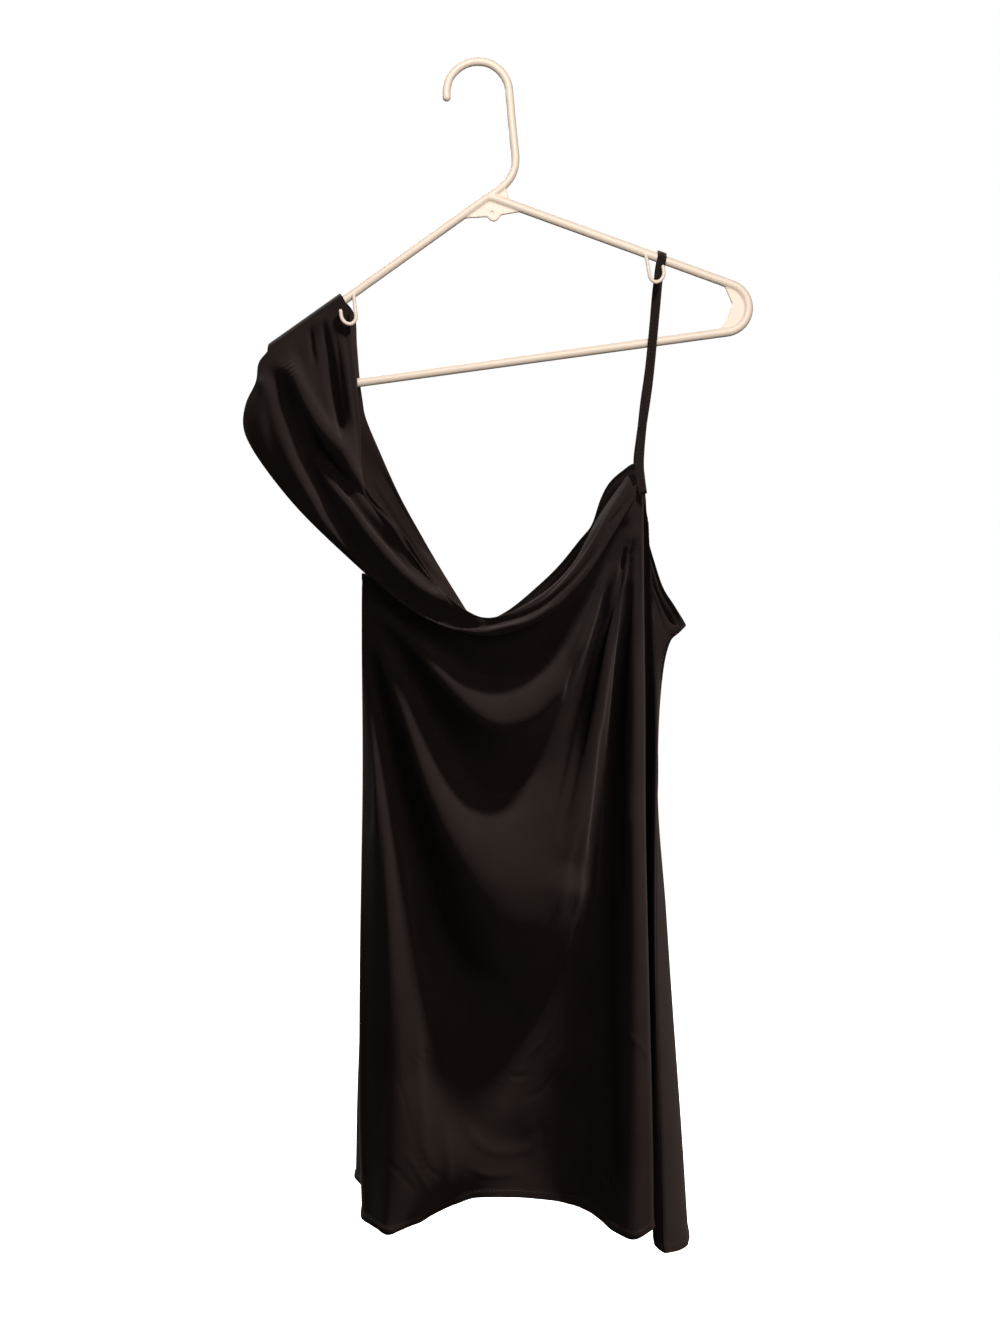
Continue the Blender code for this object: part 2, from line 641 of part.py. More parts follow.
def build_hanger():
    """The moulded hanger: frame, webs, strap hooks and hook as one body, tilted as it hangs."""
    points, faces = tube(frame_path(), TUBE, TUBE_SIDES, closed=True)
    hanger = solid("hanger", points, faces)
    apex = APEX[0]
    parts = [plate("gusset", GUSSET, WEB_HALF)]
    for side, sign in (("left", -1), ("right", 1)):
        parts.append(plate("end_web_" + side, [(apex + sign * x, z) for x, z in END_WEB], WEB_HALF))
        line = [(x, STRAP_HOOK_DEPTH, z) for x, z in STRAP_HOOK]
        line[0] = (line[0][0], -1.5, line[0][2] - 2)
        line[1] = (line[1][0], -6.2, line[1][2] + 3)
        path, size = rounded_end(spline(line, 22)[::-1], STRAP_HOOK_WIRE)
        path[:, 0] = apex + sign * path[:, 0]
        parts.append(solid("strap_hook_" + side, *tube(path, size, 10), group=CUTTERS))
    parts.append(plate("upper_web", UPPER_WEB, WEB_HALF))
    path, size = rounded_end(spline([(x, 0, z) for x, z in HOOK_LINE], 52), HOOK_TUBE)
    parts.append(solid("hook", *tube(path, size, TUBE_SIDES), group=CUTTERS))
    join(hanger, parts)
    x, z, radius = GUSSET_HOLE
    drill = solid("hole", *tube([(x, -5, z), (x, 5, z)], radius, 12, plane=(0, 0, 1)), group=CUTTERS)
    join(hanger, [drill], "DIFFERENCE")
    turn = Matrix.Rotation(-math.radians(HANGER_TILT), 4, "Y")
    for obj in [hanger] + list(bpy.data.collections[CUTTERS].objects):
        obj.data.transform(turn)


def build_body():
    """Front and back panel: one closed ring of columns, parted at the two side seams."""
    columns, panels = body_columns()
    normal = grid_normals(columns, ring=True)
    inner = columns - normal * WALL
    outer = columns.copy()
    outer[:, -2:] += normal[:, -2:] * HEM_RAISE
    count = len(panels)
    start = panels.index("back")
    along = unit(np.roll(columns, -1, axis=0) - np.roll(columns, 1, axis=0))
    for name, picks in (("front_panel", range(0, start + 1)), ("back_panel", range(start, count + 1))):
        picks = [i % count for i in picks]
        face, lining = outer[picks].copy(), inner[picks].copy()
        for end, sign in ((0, 1), (-1, -1)):
            shift = along[picks[end]] * sign * GAP / 2
            face[end] += shift
            lining[end] += shift
        shell(name, face, lining)


def build_drapes():
    """Front and back half of the shoulder drape, which meet along the arm."""
    front = drape_grid(FRONT_DRAPE_EDGES, DRAPE_FOLDS, DRAPE_ROWS, DRAPE_COLUMNS)
    normal = grid_normals(front)
    normal *= np.where(normal[..., 1:2] > 0, -1, 1)
    normal[0] = off_arm()
    shell("front_drape", front, front - normal * WALL)
    back = drape_grid(BACK_DRAPE_EDGES, BACK_DRAPE_FOLDS, BACK_DRAPE_ROWS, BACK_DRAPE_COLUMNS)
    normal = grid_normals(back)
    normal *= np.where(normal[..., 1:2] < 0, -1, 1)
    normal[0] = off_arm()
    shell("back_drape", back, back - normal * WALL)


def strap_line():
    """Inner face of the strap: up the front, round the arm, down the back."""
    x, z = STRAP_ON_ARM
    reach = TUBE + GAP
    lean = reach / math.cos(math.radians(ARM_SLOPE - HANGER_TILT))
    turn = np.radians(np.linspace(-90, 90, 13))
    arc = [(x, reach * math.sin(a), z + lean * math.cos(a)) for a in turn]
    up = spline(STRAP_FRONT + arc[:1], 17)
    down = spline(arc[-1:] + STRAP_BACK, 15)
    return np.vstack([up[:-1], arc, down[1:]])


def build_strap():
    """The flat strap, swept along its line."""
    line = strap_line()
    along = unit(np.gradient(line, axis=0))
    slope = math.radians(ARM_SLOPE - HANGER_TILT)
    near_arm = np.clip((line[:, 2:] + 195) / 25, 0, 1)
    lying = np.array([math.cos(slope), 0, -math.sin(slope)])
    side = unit(near_arm * lying + (1 - near_arm) * np.array([0.994, 0, -0.109]))
    side = unit(side - along * (along * side).sum(axis=1)[:, None])
    out = unit(np.cross(side, along))
    half, thick = STRAP_WIDTH / 2, STRAP_THICK
    outline = [(-half, 0.0), (half, 0.0), (half, thick), (-half, thick)]
    points = np.vstack([[p + s * w + o * t for w, t in outline] for p, s, o in zip(line, side, out)])
    faces = []
    for i in range(len(line) - 1):
        for j in range(4):
            m = (j + 1) % 4
            faces.append((4 * i + j, 4 * i + m, 4 * i + 4 + m, 4 * i + 4 + j))
    last = 4 * (len(line) - 1)
    faces += [(3, 2, 1, 0), (last, last + 1, last + 2, last + 3)]
    obj = solid("strap", points, faces)
    obj.data.polygons.foreach_set("use_smooth", [False] * len(obj.data.polygons))


def main():
    for obj in list(bpy.data.objects):
        bpy.data.objects.remove(obj)
    for name in (NAME, CUTTERS):
        group = bpy.data.collections.new(name)
        bpy.context.scene.collection.children.link(group)
    bpy.data.collections[CUTTERS].hide_render = True
    build_hanger()
    build_body()
    build_drapes()
    build_strap()


main()
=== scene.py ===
"""Mini dress with one draped shoulder, hung on a plain moulded hanger.

Laid out as an add-on: each operator makes one piece, or one group of like pieces, over
the solids of the frame. The tables hold millimetres, and the meshes are in metres with
Z up. X runs to the right as the front of the dress is seen, and Y runs away from the
viewer. The origin is the inside top of the hook.

Every piece of cloth is a fine grid of points. Its large folds come from the same fold
lines as its solid, and the small creases are laid on that face, each as one line with a
height and a width.
"""

import math

import bmesh
import bpy
import numpy as np
from mathutils import Matrix


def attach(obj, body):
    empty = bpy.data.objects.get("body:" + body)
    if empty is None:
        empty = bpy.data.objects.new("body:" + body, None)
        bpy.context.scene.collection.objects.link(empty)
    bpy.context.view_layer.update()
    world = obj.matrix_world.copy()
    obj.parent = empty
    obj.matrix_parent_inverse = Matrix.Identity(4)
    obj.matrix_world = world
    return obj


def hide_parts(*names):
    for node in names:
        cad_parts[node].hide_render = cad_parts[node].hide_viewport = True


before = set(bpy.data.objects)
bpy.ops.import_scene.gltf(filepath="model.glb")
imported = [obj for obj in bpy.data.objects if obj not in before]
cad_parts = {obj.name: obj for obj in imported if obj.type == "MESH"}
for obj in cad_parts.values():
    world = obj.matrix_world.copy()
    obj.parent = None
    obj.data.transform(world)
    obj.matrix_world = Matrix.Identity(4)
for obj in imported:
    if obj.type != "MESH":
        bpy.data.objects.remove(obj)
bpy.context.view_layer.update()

bl_info = {
    "name": "Draped mini dress",
    "version": (1, 0, 0),
    "blender": (4, 5, 0),
    "location": "3D View > Sidebar > Dress",
    "description": "Makes a draped jersey dress on a moulded hanger, with its stitching and its stage",
    "category": "Add Mesh",
}

MM = 0.001
BODY = "root"

# Cloth
WALL = 1.5
GAP = 0.3
BEHIND_ROLL = 0.9
SLEEVE_ROUND = 3.5
SLEEVE_ROUND_RISE = 0.7
ROLL_TUCK = 5.0
ROLL_TUCK_REACH = 6.0
FOLD_SOFTNESS = 4.0
FOLD_EASE = 1.5
LINE_STEP = 4.5

# Hanger
HANGER_TILT = 7.8
TUBE = 3.75
HOOK_TUBE = 3.5
STRAP_HOOK_WIRE = 1.6
WEB_HALF = 1.4
APEX = (-4.1, -108.2)
ARM_SLOPE = 27.5
BAR_DROP = 138.3
HALF_WIDTH = 201
BEND = 20.2
APEX_ROUND = 8.0

# Strap
STRAP_WIDTH = 7.5
STRAP_THICK = 1.2
STRAP_STITCH_INSET = 1.4
STRAP_STITCH_LIFT = 0.05
STRAP_DIP = 0.16
STRAP_DIP_WIDTH = 0.35
# Direction across the strap where it hangs, and the height over which it turns to the arm's
STRAP_HANGING = (0.994, 0, -0.109)
STRAP_TURN_LOW = -195
STRAP_TURN = 25

# Rows of the solids' drapes, which the folds are fitted to, and those of them that wrap the arm
DRAPE_ROWS = 36
BACK_DRAPE_ROWS = 20
DRAPE_WRAP_ROWS = 4

# Front folds of the body, each a line along one ridge or trough: x, depth y, height z
BODY_FOLDS = {
    "trough_under_roll": [
        (-80, -14, -440), (-44, -17, -470), (-1, -20, -501), (24, -20, -504), (51, -20, -502),
        (66, -19, -490), (81, -18, -467), (100, -16, -432), (122, -14, -382),
    ],
    "ridge_first_swag": [
        (-82, -16, -449), (-68, -24, -462), (-30, -40, -502), (8, -47, -542), (24, -48, -546),
        (44, -47, -541), (62, -44, -524), (84, -38, -482), (106, -29, -429), (128, -17, -380),
    ],
    "trough_first_swag": [
        (-83, -12, -460), (-58, -13, -490), (-40, -13, -522), (-6, -14, -582), (8, -14, -596),
        (22, -14, -600), (51, -13, -583), (81, -13, -516), (107, -18, -440), (119, -20, -408),
    ],
    "ridge_second_swag": [
        (-83, -17, -474), (-64, -31, -524), (-40, -39, -605), (-7, -45, -686), (16, -47, -716),
        (41, -45, -711), (72, -40, -657), (93, -35, -571), (109, -31, -480), (130, -16, -400),
    ],
    "trough_second_swag": [
        (-86, -9, -492), (-76, -6, -530), (-56, -4, -600), (-33, -2, -675),
        (-6, -1, -762), (22, -1, -845), (38, -2, -886), (57, -3, -876),
        (86, -6, -815), (104, -8, -723), (117, -10, -570), (122, -14, -490), (126, -19, -432),
    ],
    "trough_low_right": [(97, -7, -800), (93, -8, -880), (84, -4, -935)],
    "ridge_left": [
        (-89, -15, -500), (-84, -25, -550), (-78, -34, -604), (-70, -40, -686),
        (-65, -45, -769), (-61, -48, -852), (-66, -50, -915), (-70, -50, -951),
    ],
    "ridge_right": [
        (134, -16, -420), (131, -23, -460), (128, -31, -520), (127, -36, -604),
        (129, -42, -710), (130, -48, -830), (127, -52, -925), (125, -53, -954),
    ],
}

# Upright ribs of the body, as (x, y, z) at six stations from the top edge to the hem
BODY_RIBS = {
    "left_seam": [
        (-91, 0, -421), (-91, 2, -530), (-91, 6, -650), (-92, 12, -770), (-93, 18, -880), (-93, 22, -941),
    ],
    "left_edge": [
        (-93, -10, -421), (-93, -12, -530), (-93, -17, -650),
        (-94, -21, -770), (-93, -24, -880), (-90, -25, -949),
    ],
    "lip": [
        (135, -13, -345), (136, -18, -450), (135, -25, -540),
        (135, -31, -650), (138, -39, -780), (140.5, -45, -950),
    ],
    "channel": [
        (138.5, -11, -358), (139.5, -6, -450), (141, -1, -540),
        (141, 3, -650), (143.5, 6, -780), (146, 8, -940),
    ],
    "fold_wall": [
        (141, -11, -375), (146, -10.5, -470), (147, -14, -540),
        (144.5, -19, -650), (143.5, -28, -780), (145, -37, -964),
    ],
    "side_seam": [
        (171, 1, -465), (155, -6, -484), (149.6, -13, -598),
        (147.5, -24, -700), (148.6, -35, -805), (152.5, -45, -968),
    ],
    "side_front": [
        (174, 4, -463), (158, 5, -482), (151, 6, -598), (158, 5, -700), (165, 2, -810), (175, -8, -973),
    ],
    "side_back": [
        (165, 12, -446), (155, 22, -500), (151, 32, -600),
        (156, 42, -700), (162, 50, -800), (171, 52, -967),
    ],
    "back_right": [
        (110, 26, -345), (108, 38, -470), (106, 50, -600),
        (107, 62, -720), (108, 72, -840), (112, 82, -960),
    ],
    "fold_back_right": [
        (70, 31, -411), (70, 38, -480), (69, 45, -600), (69, 52, -720), (70, 58, -840), (70, 64, -957),
    ],
    "back_centre": [
        (28, 34, -452), (28, 43, -530), (28, 54, -640), (28, 64, -750), (28, 72, -850), (28, 80, -955),
    ],
    "fold_back_left": [
        (-9, 30, -453), (-12, 37, -520), (-12, 45, -640),
        (-12, 52, -750), (-12, 58, -850), (-12, 63, -952),
    ],
    "back_left": [
        (-52, 23, -436.2), (-52, 38, -520), (-52, 50, -640),
        (-52, 60, -750), (-52, 70, -850), (-50, 82, -948),
    ],
    "left_back": [
        (-88, 17, -422.3), (-88, 26, -530), (-89, 38, -650),
        (-92, 48, -770), (-96, 58, -880), (-97, 67, -940),
    ],
    "left_turn": [
        (-93, 9, -421.3), (-94, 15, -530), (-95, 22, -650),
        (-98, 32, -770), (-103, 44, -880), (-105, 54, -936),
    ],
}

# The strips between ribs: first rib, second rib, columns, and which panel they belong to
BODY_STRIPS = [
    ("left_seam", "left_edge", 8, "front"),
    ("left_edge", "lip", 190, "front"),
    ("lip", "channel", 14, "front"),
    ("channel", "fold_wall", 14, "front"),
    ("fold_wall", "side_seam", 24, "front"),
    ("side_seam", "side_front", 16, "back"),
    ("side_front", "side_back", 16, "back"),
    ("side_back", "back_right", 46, "back"),
    ("back_right", "fold_back_right", 24, "back"),
    ("fold_back_right", "back_centre", 24, "back"),
    ("back_centre", "fold_back_left", 24, "back"),
    ("fold_back_left", "back_left", 24, "back"),
    ("back_left", "left_back", 24, "back"),
    ("left_back", "left_turn", 6, "back"),
    ("left_turn", "left_seam", 16, "back"),
]

# The strips whose top edge follows BACK_TOP, by their first rib
BACK_NECK_STRIPS = ("side_back", "back_right", "fold_back_right", "back_centre", "fold_back_left")

# Edges of the front panel: its top behind the cowl roll, its armhole and its hem, each x, z
FRONT_TOP = [
    (-93, -421), (-77, -432), (-60, -443), (-44, -454.5), (-28, -463.5), (-12, -467.5),
    (6, -466), (36, -456.5), (69, -438), (93, -411), (112, -381), (124, -358), (135, -345),
]
FRONT_ARMHOLE = [(141, -375), (142.5, -400), (144, -425), (150, -442), (156, -455), (162, -463), (171, -465)]
FRONT_HEM = [
    (-90, -949), (-70, -951.5), (-60, -952), (-46, -951), (-30, -945.5), (-15, -940), (0, -936.5),
    (37, -936.5), (70, -939), (93, -942.5), (101, -946), (110, -950.5), (127, -955), (140.5, -950),
]
# Depth of the front hem: x, y
HEM_DEPTH = [
    (-90, -25), (-70, -50), (-46, -20), (-30, -10), (0, -4), (38, -3),
    (70, -6), (94, -22), (111, -42), (127, -53), (140.5, -45),
]
# Top edge of the back panel, from the left seam along the neckline and down the armhole: x, z
BACK_TOP = [
    (-93, -421.5), (-52, -436.2), (-8, -452.5), (7, -458.5), (24, -452), (56, -426),
    (71, -411), (88, -390), (97, -379), (105, -356), (112, -343), (123, -333),
    (134, -327), (141, -345), (143, -385), (149, -409), (157, -433), (165, -446),
]

# Shoulder drape and cowl roll: outer and inner edge, (x, y, z) each, from the arm down
FRONT_DRAPE_EDGES = [
    ((-179, -6.6, -246.5), (-106, -6.6, -202)),
    ((-181, -8, -262), (-103, -7, -225)),
    ((-189, -9.5, -280), (-99, -8, -250)),
    ((-191.3, -10.5, -298), (-97, -9, -276)),
    ((-186, -12, -314), (-95, -10, -302)),
    ((-152, -16, -361), (-90, -16, -351)),
    ((-106, -20, -407), (-63, -26, -384)),
    ((-61, -34, -445), (-32, -34, -430)),
    ((-24, -42, -465), (-11, -40, -451)),
    ((12, -45, -473), (12, -42, -459)),
    ((56, -44, -458), (52, -40, -440)),
    ((88, -37, -426), (78, -33, -415)),
    ((112, -27, -389), (101, -23, -374)),
    ((131.5, -17.5, -357), (124.5, -15.5, -341)),
]
# Folds of the front and back drape, as ridges and valleys: x, y, z
DRAPE_FOLDS = {
    "ridge_outer": [
        (-176, -13, -262), (-160, -19, -302), (-145, -22, -335), (-120, -27, -385),
        (-95, -31, -412), (-65, -42, -441), (-30, -47, -463), (12, -49.5, -470),
        (54, -49, -453), (87, -42, -423), (111, -32, -386), (129, -20, -352),
    ],
    "valley_main": [
        (-168, -8.5, -258), (-152, -13, -295), (-139, -16, -335), (-119, -20, -374),
        (-95, -25.5, -408), (-62, -35, -439), (-25, -41, -460), (4, -43, -464), (38, -43, -456),
        (66, -40, -440), (94, -32, -410), (112, -24, -382), (129, -17, -350),
    ],
    "ridge_middle": [
        (-128, -21, -335), (-104, -28, -366), (-80, -34, -398),
        (-55, -42, -424), (-30, -45, -438), (4, -48, -461),
    ],
    "valley_inner": [
        (-129, -12, -310), (-104, -17, -343), (-75, -25, -380), (-46, -33, -414), (-31, -38, -435),
    ],
    "ridge_inner": [
        (-160, -12, -252), (-132, -21, -296), (-102, -26, -334), (-80, -32, -364),
        (-62, -36, -386), (-36, -44, -418), (-12, -47, -449), (20, -47, -457),
        (54, -47, -443), (80, -42, -416), (102, -33, -379), (125, -20, -345),
    ],
    "valley_neck": [(-128, -8, -211), (-122, -8.5, -236), (-116, -10, -276), (-112, -12, -302)],
    "ridge_neck": [
        (-113, -7, -206), (-106, -7.6, -222), (-103, -11, -240),
        (-99, -14, -276), (-97, -15, -310), (-94, -20, -345),
    ],
}
BACK_DRAPE_FOLDS = {
    "ridge_back_outer": [(-172, 14, -275), (-152, 19, -318), (-126, 21, -362), (-104, 20, -394)],
    "valley_back": [(-158, 8.5, -262), (-138, 11, -305), (-108, 14, -356), (-80, 18, -398)],
    "ridge_back_inner": [(-128, 13, -255), (-110, 18, -300), (-82, 22, -350), (-50, 26, -400)],
}
# The back drape's outer and inner edge, as for the front
BACK_DRAPE_EDGES = [
    ((-178.5, 6.6, -246), (-102, 6.6, -204)),
    ((-180, 8, -262), (-99.5, 7, -232)),
    ((-187, 9, -281), (-97, 8, -262)),
    ((-189.5, 10, -298), (-95, 8.5, -276)),
    ((-184, 11, -314), (-93, 9, -288)),
    ((-150, 14, -361), (-80, 12, -320)),
    ((-127, 15, -386), (-64, 16, -355)),
    ((-108, 16, -405), (-47, 21, -386)),
    ((-98, 16.5, -414), (-30.5, 25, -415)),
    ((-92, 17, -420.6), (-8, 29.5, -451.4)),
]

# Hook centreline and the small moulded plates, in the hanger's own upright frame: x, z.
# The end web and the strap hook are measured from the middle of the hanger, for both sides.
HOOK_LINE = [
    (-27.6, -22), (-27.2, -17), (-22.9, -6.5), (-15, 0.4), (-6.3, 3.7), (2.4, 3.8),
    (11.8, 0.6), (19.7, -7), (24, -17), (24.1, -29), (23.2, -48), (22.6, -65),
    (21.8, -81), (19.4, -89.2), (14.2, -96.8), (6.2, -103), (-4.1, -108.4), (-13, -113),
]
UPPER_WEB = [(3, -105), (9, -101.5), (11.3, -104.6), (12, -113.4), (0, -110)]
GUSSET = [
    (-41, -125.3), (-25.3, -123.6), (-8, -124.9), (-5.6, -128.1), (-2.4, -129.6),
    (0.8, -128.1), (3.6, -125), (19.7, -124.4), (12, -117), (-4.1, -109), (-22, -117),
]
GUSSET_HOLE = (-3.4, -122, 1.1)
END_WEB = [
    (178, -203), (183.6, -208.9), (187.6, -223.6), (182.1, -235.4),
    (173.6, -244.5), (186, -246), (201, -237), (202, -218), (190, -207),
]
STRAP_HOOK = [
    (121.9, -171), (121.9, -183), (122, -190), (122.6, -196),
    (126.6, -199.4), (131, -198), (133.7, -194), (134, -187.5),
]
STRAP_HOOK_DEPTH = -9.6
# Its first two points lie nearer the arm: their depth, and how far they are raised
STRAP_HOOK_ROOT = ((-1.5, -2), (-6.2, 3))
DRILL_REACH = 5

# Arm centreline where the drape lies over it: x, z at the sleeve end and at the neck end
DRAPE_ON_ARM = ((-172, -236.9), (-110, -193))

# Inner face of the strap as it hangs, from the front up to the arm and down the back: x, y, z
STRAP_FRONT = [
    (136.8, -15.3, -356), (135.4, -14.4, -345), (134.4, -12.6, -331), (138.4, -9, -286),
    (143.1, -6.6, -252.7), (146.6, -5.2, -219.4), (149.6, -4.5, -186), (152.2, -4.2, -168),
]
STRAP_ON_ARM = (153.9, -159.1)
STRAP_BACK = [
    (152.4, 4.3, -168), (149, 6, -205), (144, 11, -260),
    (138, 18.5, -305), (136, 22.1, -325), (137, 21.6, -338),
]

# Small creases of each cloth face: height out of the cloth, width, share of that width on
# the right of the line as it is drawn, and the line itself as x, z
FRONT_CREASES = [
    (-2.5, 6, 0.5, [
        (-29, -486), (-13, -494), (0, -500), (16, -504), (30, -504), (42, -499), (53, -485),
        (65, -470),
    ]),
    (1.8, 7, 0.8, [(-51, -473), (-28, -508), (-4, -535), (20, -547), (44, -541), (60, -524), (76, -498)]),
    (1.6, 4, 1.0, [(76, -500), (88, -470), (99, -440), (110, -408)]),
    (-2.2, 6, 0.4, [(-52, -496), (-40, -528), (-20, -562), (0, -590), (20, -601), (38, -593), (54, -575)]),
    (-2.6, 3.2, 1.0, [
        (58, -620), (68, -590), (76, -556), (84, -524), (94, -488), (103, -455), (112, -420),
    ]),
    (1.5, 4.6, 1.0, [(58, -704), (78, -638), (90, -586), (98, -534), (107, -481), (115, -436)]),
    (-2.4, 3.6, 1.0, [(66, -640), (74, -612), (84, -560), (94, -510), (104, -468), (112, -436)]),
    (1.7, 4.6, 1.0, [
        (76, -701), (86, -653), (94, -605), (102, -548), (108, -500), (115, -452), (121, -403),
    ]),
    (-3.4, 6, 1.0, [
        (110, -926), (108, -846), (106, -725), (107, -645), (111, -572), (116, -508), (121, -444),
        (126, -390),
    ]),
    (-2.0, 2.8, 1.0, [(92, -660), (98, -600), (104, -540), (111, -480), (118, -430), (124, -390)]),
    (1.8, 2.6, 1.0, [(98, -700), (103, -620), (109, -550), (115, -488), (121, -430)]),
    (1.5, 2.4, 1.0, [(131, -395), (129, -440), (126, -490), (124, -560), (124, -640)]),
    (-2.6, 1.7, 1.0, [(130, -384), (126, -420), (121, -460), (117, -505), (114, -560), (111, -640)]),
    (-2.4, 1.6, 1.0, [(127, -386), (119, -420), (110, -455), (101, -492), (92, -530), (84, -575)]),
    (-2.2, 1.6, 1.0, [(125, -388), (114, -414), (103, -438), (92, -466), (80, -500), (70, -528)]),
    (1.5, 2.2, 1.0, [(129, -386), (122, -424), (115, -462), (108, -505), (101, -560)]),
    (1.4, 2.2, 1.0, [(126, -388), (115, -424), (105, -458), (95, -496), (86, -538)]),
    (-1.6, 2.2, 1.0, [(128, -410), (124, -460), (120, -520), (118, -600), (118, -690)]),
    (1.4, 5, 1.0, [
        (-83, -444), (-73, -516), (-62, -605), (-57, -669), (-51, -733), (-44, -830), (-40, -910),
    ]),
    (-1.6, 5, 1.0, [
        (-88, -451), (-80, -492), (-69, -557), (-62, -607), (-54, -664), (-42, -729), (-29, -762),
    ]),
    (6.0, 19, 1.0, [(-34, -668), (-16, -706), (6, -728), (26, -736), (46, -728), (64, -700), (78, -656)]),
    (-4.0, 19, 1.0, [(-40, -800), (-20, -846), (2, -880), (24, -893), (46, -890), (66, -868), (84, -830)]),
    (1.3, 5, 1.0, [(-12, -862), (6, -892), (24, -900), (44, -897), (62, -880)]),
    (-0.8, 1.8, 1.0, [(36, -810), (28, -807), (18, -802)]),
    (0.7, 2.5, 1.0, [(118, -790), (133, -802), (142, -820)]),
    (-0.7, 2.4, 1.0, [(-40, -560), (-22, -590), (-6, -612), (10, -622)]),
    (0.6, 2.2, 1.0, [(36, -556), (50, -548), (62, -536)]),
    (-0.6, 1.8, 1.0, [(28, -562), (44, -556), (58, -544), (66, -534)]),
    (-0.9, 3.5, 1.0, [(-84, -500), (-79, -580), (-75, -680), (-74, -790), (-77, -880)]),
    (0.8, 4, 1.0, [(-24, -940), (-22, -900), (-26, -860)]),
    (-0.8, 4, 1.0, [(52, -936), (56, -900), (52, -868)]),
    (0.8, 4, 1.0, [(80, -940), (84, -900), (80, -850)]),
    (-0.7, 3, 1.0, [(-88, -470), (-86, -540), (-86, -640)]),
    (-1.5, 2.4, 0.7, [(86, -700), (74, -738), (60, -772), (44, -800), (30, -816)]),
    (1.4, 2.6, 1.0, [(94, -716), (82, -752), (68, -784), (52, -812), (38, -826)]),
    (-1.4, 2.2, 0.7, [(96, -744), (84, -778), (70, -806), (56, -828)]),
    (-1.4, 2.2, 0.8, [(70, -744), (58, -766), (44, -782), (30, -790)]),
    (1.2, 2.0, 1.0, [(58, -760), (46, -776), (32, -786)]),
    (-1.2, 1.8, 1.0, [(30, -748), (16, -760), (4, -764)]),
    (-1.2, 2.0, 0.8, [(78, -806), (66, -832), (52, -850), (36, -858)]),
    (1.0, 2.0, 1.0, [(28, -842), (14, -838), (4, -828)]),
    (-1.0, 1.6, 1.0, [(46, -834), (34, -838), (24, -834)]),
    (-1.2, 2.4, 1.0, [(92, -790), (86, -824), (76, -852), (64, -872)]),
    (1.0, 2.6, 1.0, [(104, -760), (100, -810), (92, -852), (84, -880)]),
    (-0.5, 2.2, 1.0, [(-72, -890), (-58, -906), (-46, -924)]),
    (0.5, 2.4, 1.0, [(-60, -880), (-48, -900), (-36, -926)]),
    (-0.4, 2.0, 1.0, [(-46, -880), (-38, -902), (-22, -918)]),
    (0.8, 2.4, 1.0, [(-10, -906), (6, -916), (24, -918), (44, -914)]),
    (-1.0, 2.4, 1.0, [(96, -890), (104, -912), (116, -930)]),
    (-0.4, 2.0, 1.0, [(-66, -820), (-56, -846), (-50, -880)]),
    (0.8, 2.0, 1.0, [(-36, -780), (-26, -816), (-14, -846)]),
]
BACK_CREASES = [
    (-1.6, 7, 0.8, [(-80, -450), (-50, -500), (-10, -540), (30, -552), (70, -540), (104, -500)]),
    (1.4, 7, 0.9, [(-76, -470), (-46, -530), (-6, -574), (34, -588), (72, -570), (108, -520)]),
    (-1.5, 7, 0.6, [(-74, -500), (-44, -580), (-6, -640), (36, -660), (78, -636), (112, -560)]),
    (1.1, 8, 1.0, [(-70, -540), (-40, -640), (0, -720), (40, -742), (80, -710), (116, -620)]),
    (-1.2, 5, 1.0, [(148, -520), (138, -600), (134, -700), (136, -820), (140, -930)]),
    (1.2, 6, 1.0, [(140, -470), (126, -560), (121, -680), (122, -800), (126, -920)]),
    (-1.0, 4, 1.0, [(92, -480), (88, -580), (88, -700), (90, -830), (92, -930)]),
    (0.9, 4, 1.0, [(8, -600), (6, -700), (7, -800), (8, -920)]),
    (-0.8, 3, 1.0, [(-30, -600), (-32, -700), (-31, -800), (-30, -900)]),
    (-0.9, 4, 1.0, [(-74, -560), (-76, -660), (-78, -780), (-80, -900)]),
    (0.8, 3, 1.0, [(50, -800), (48, -860), (50, -930)]),
    (-0.7, 2, 1.0, [(60, -620), (44, -640), (30, -646)]),
    (-0.7, 2, 1.0, [(-20, -660), (-4, -690), (12, -704)]),
]
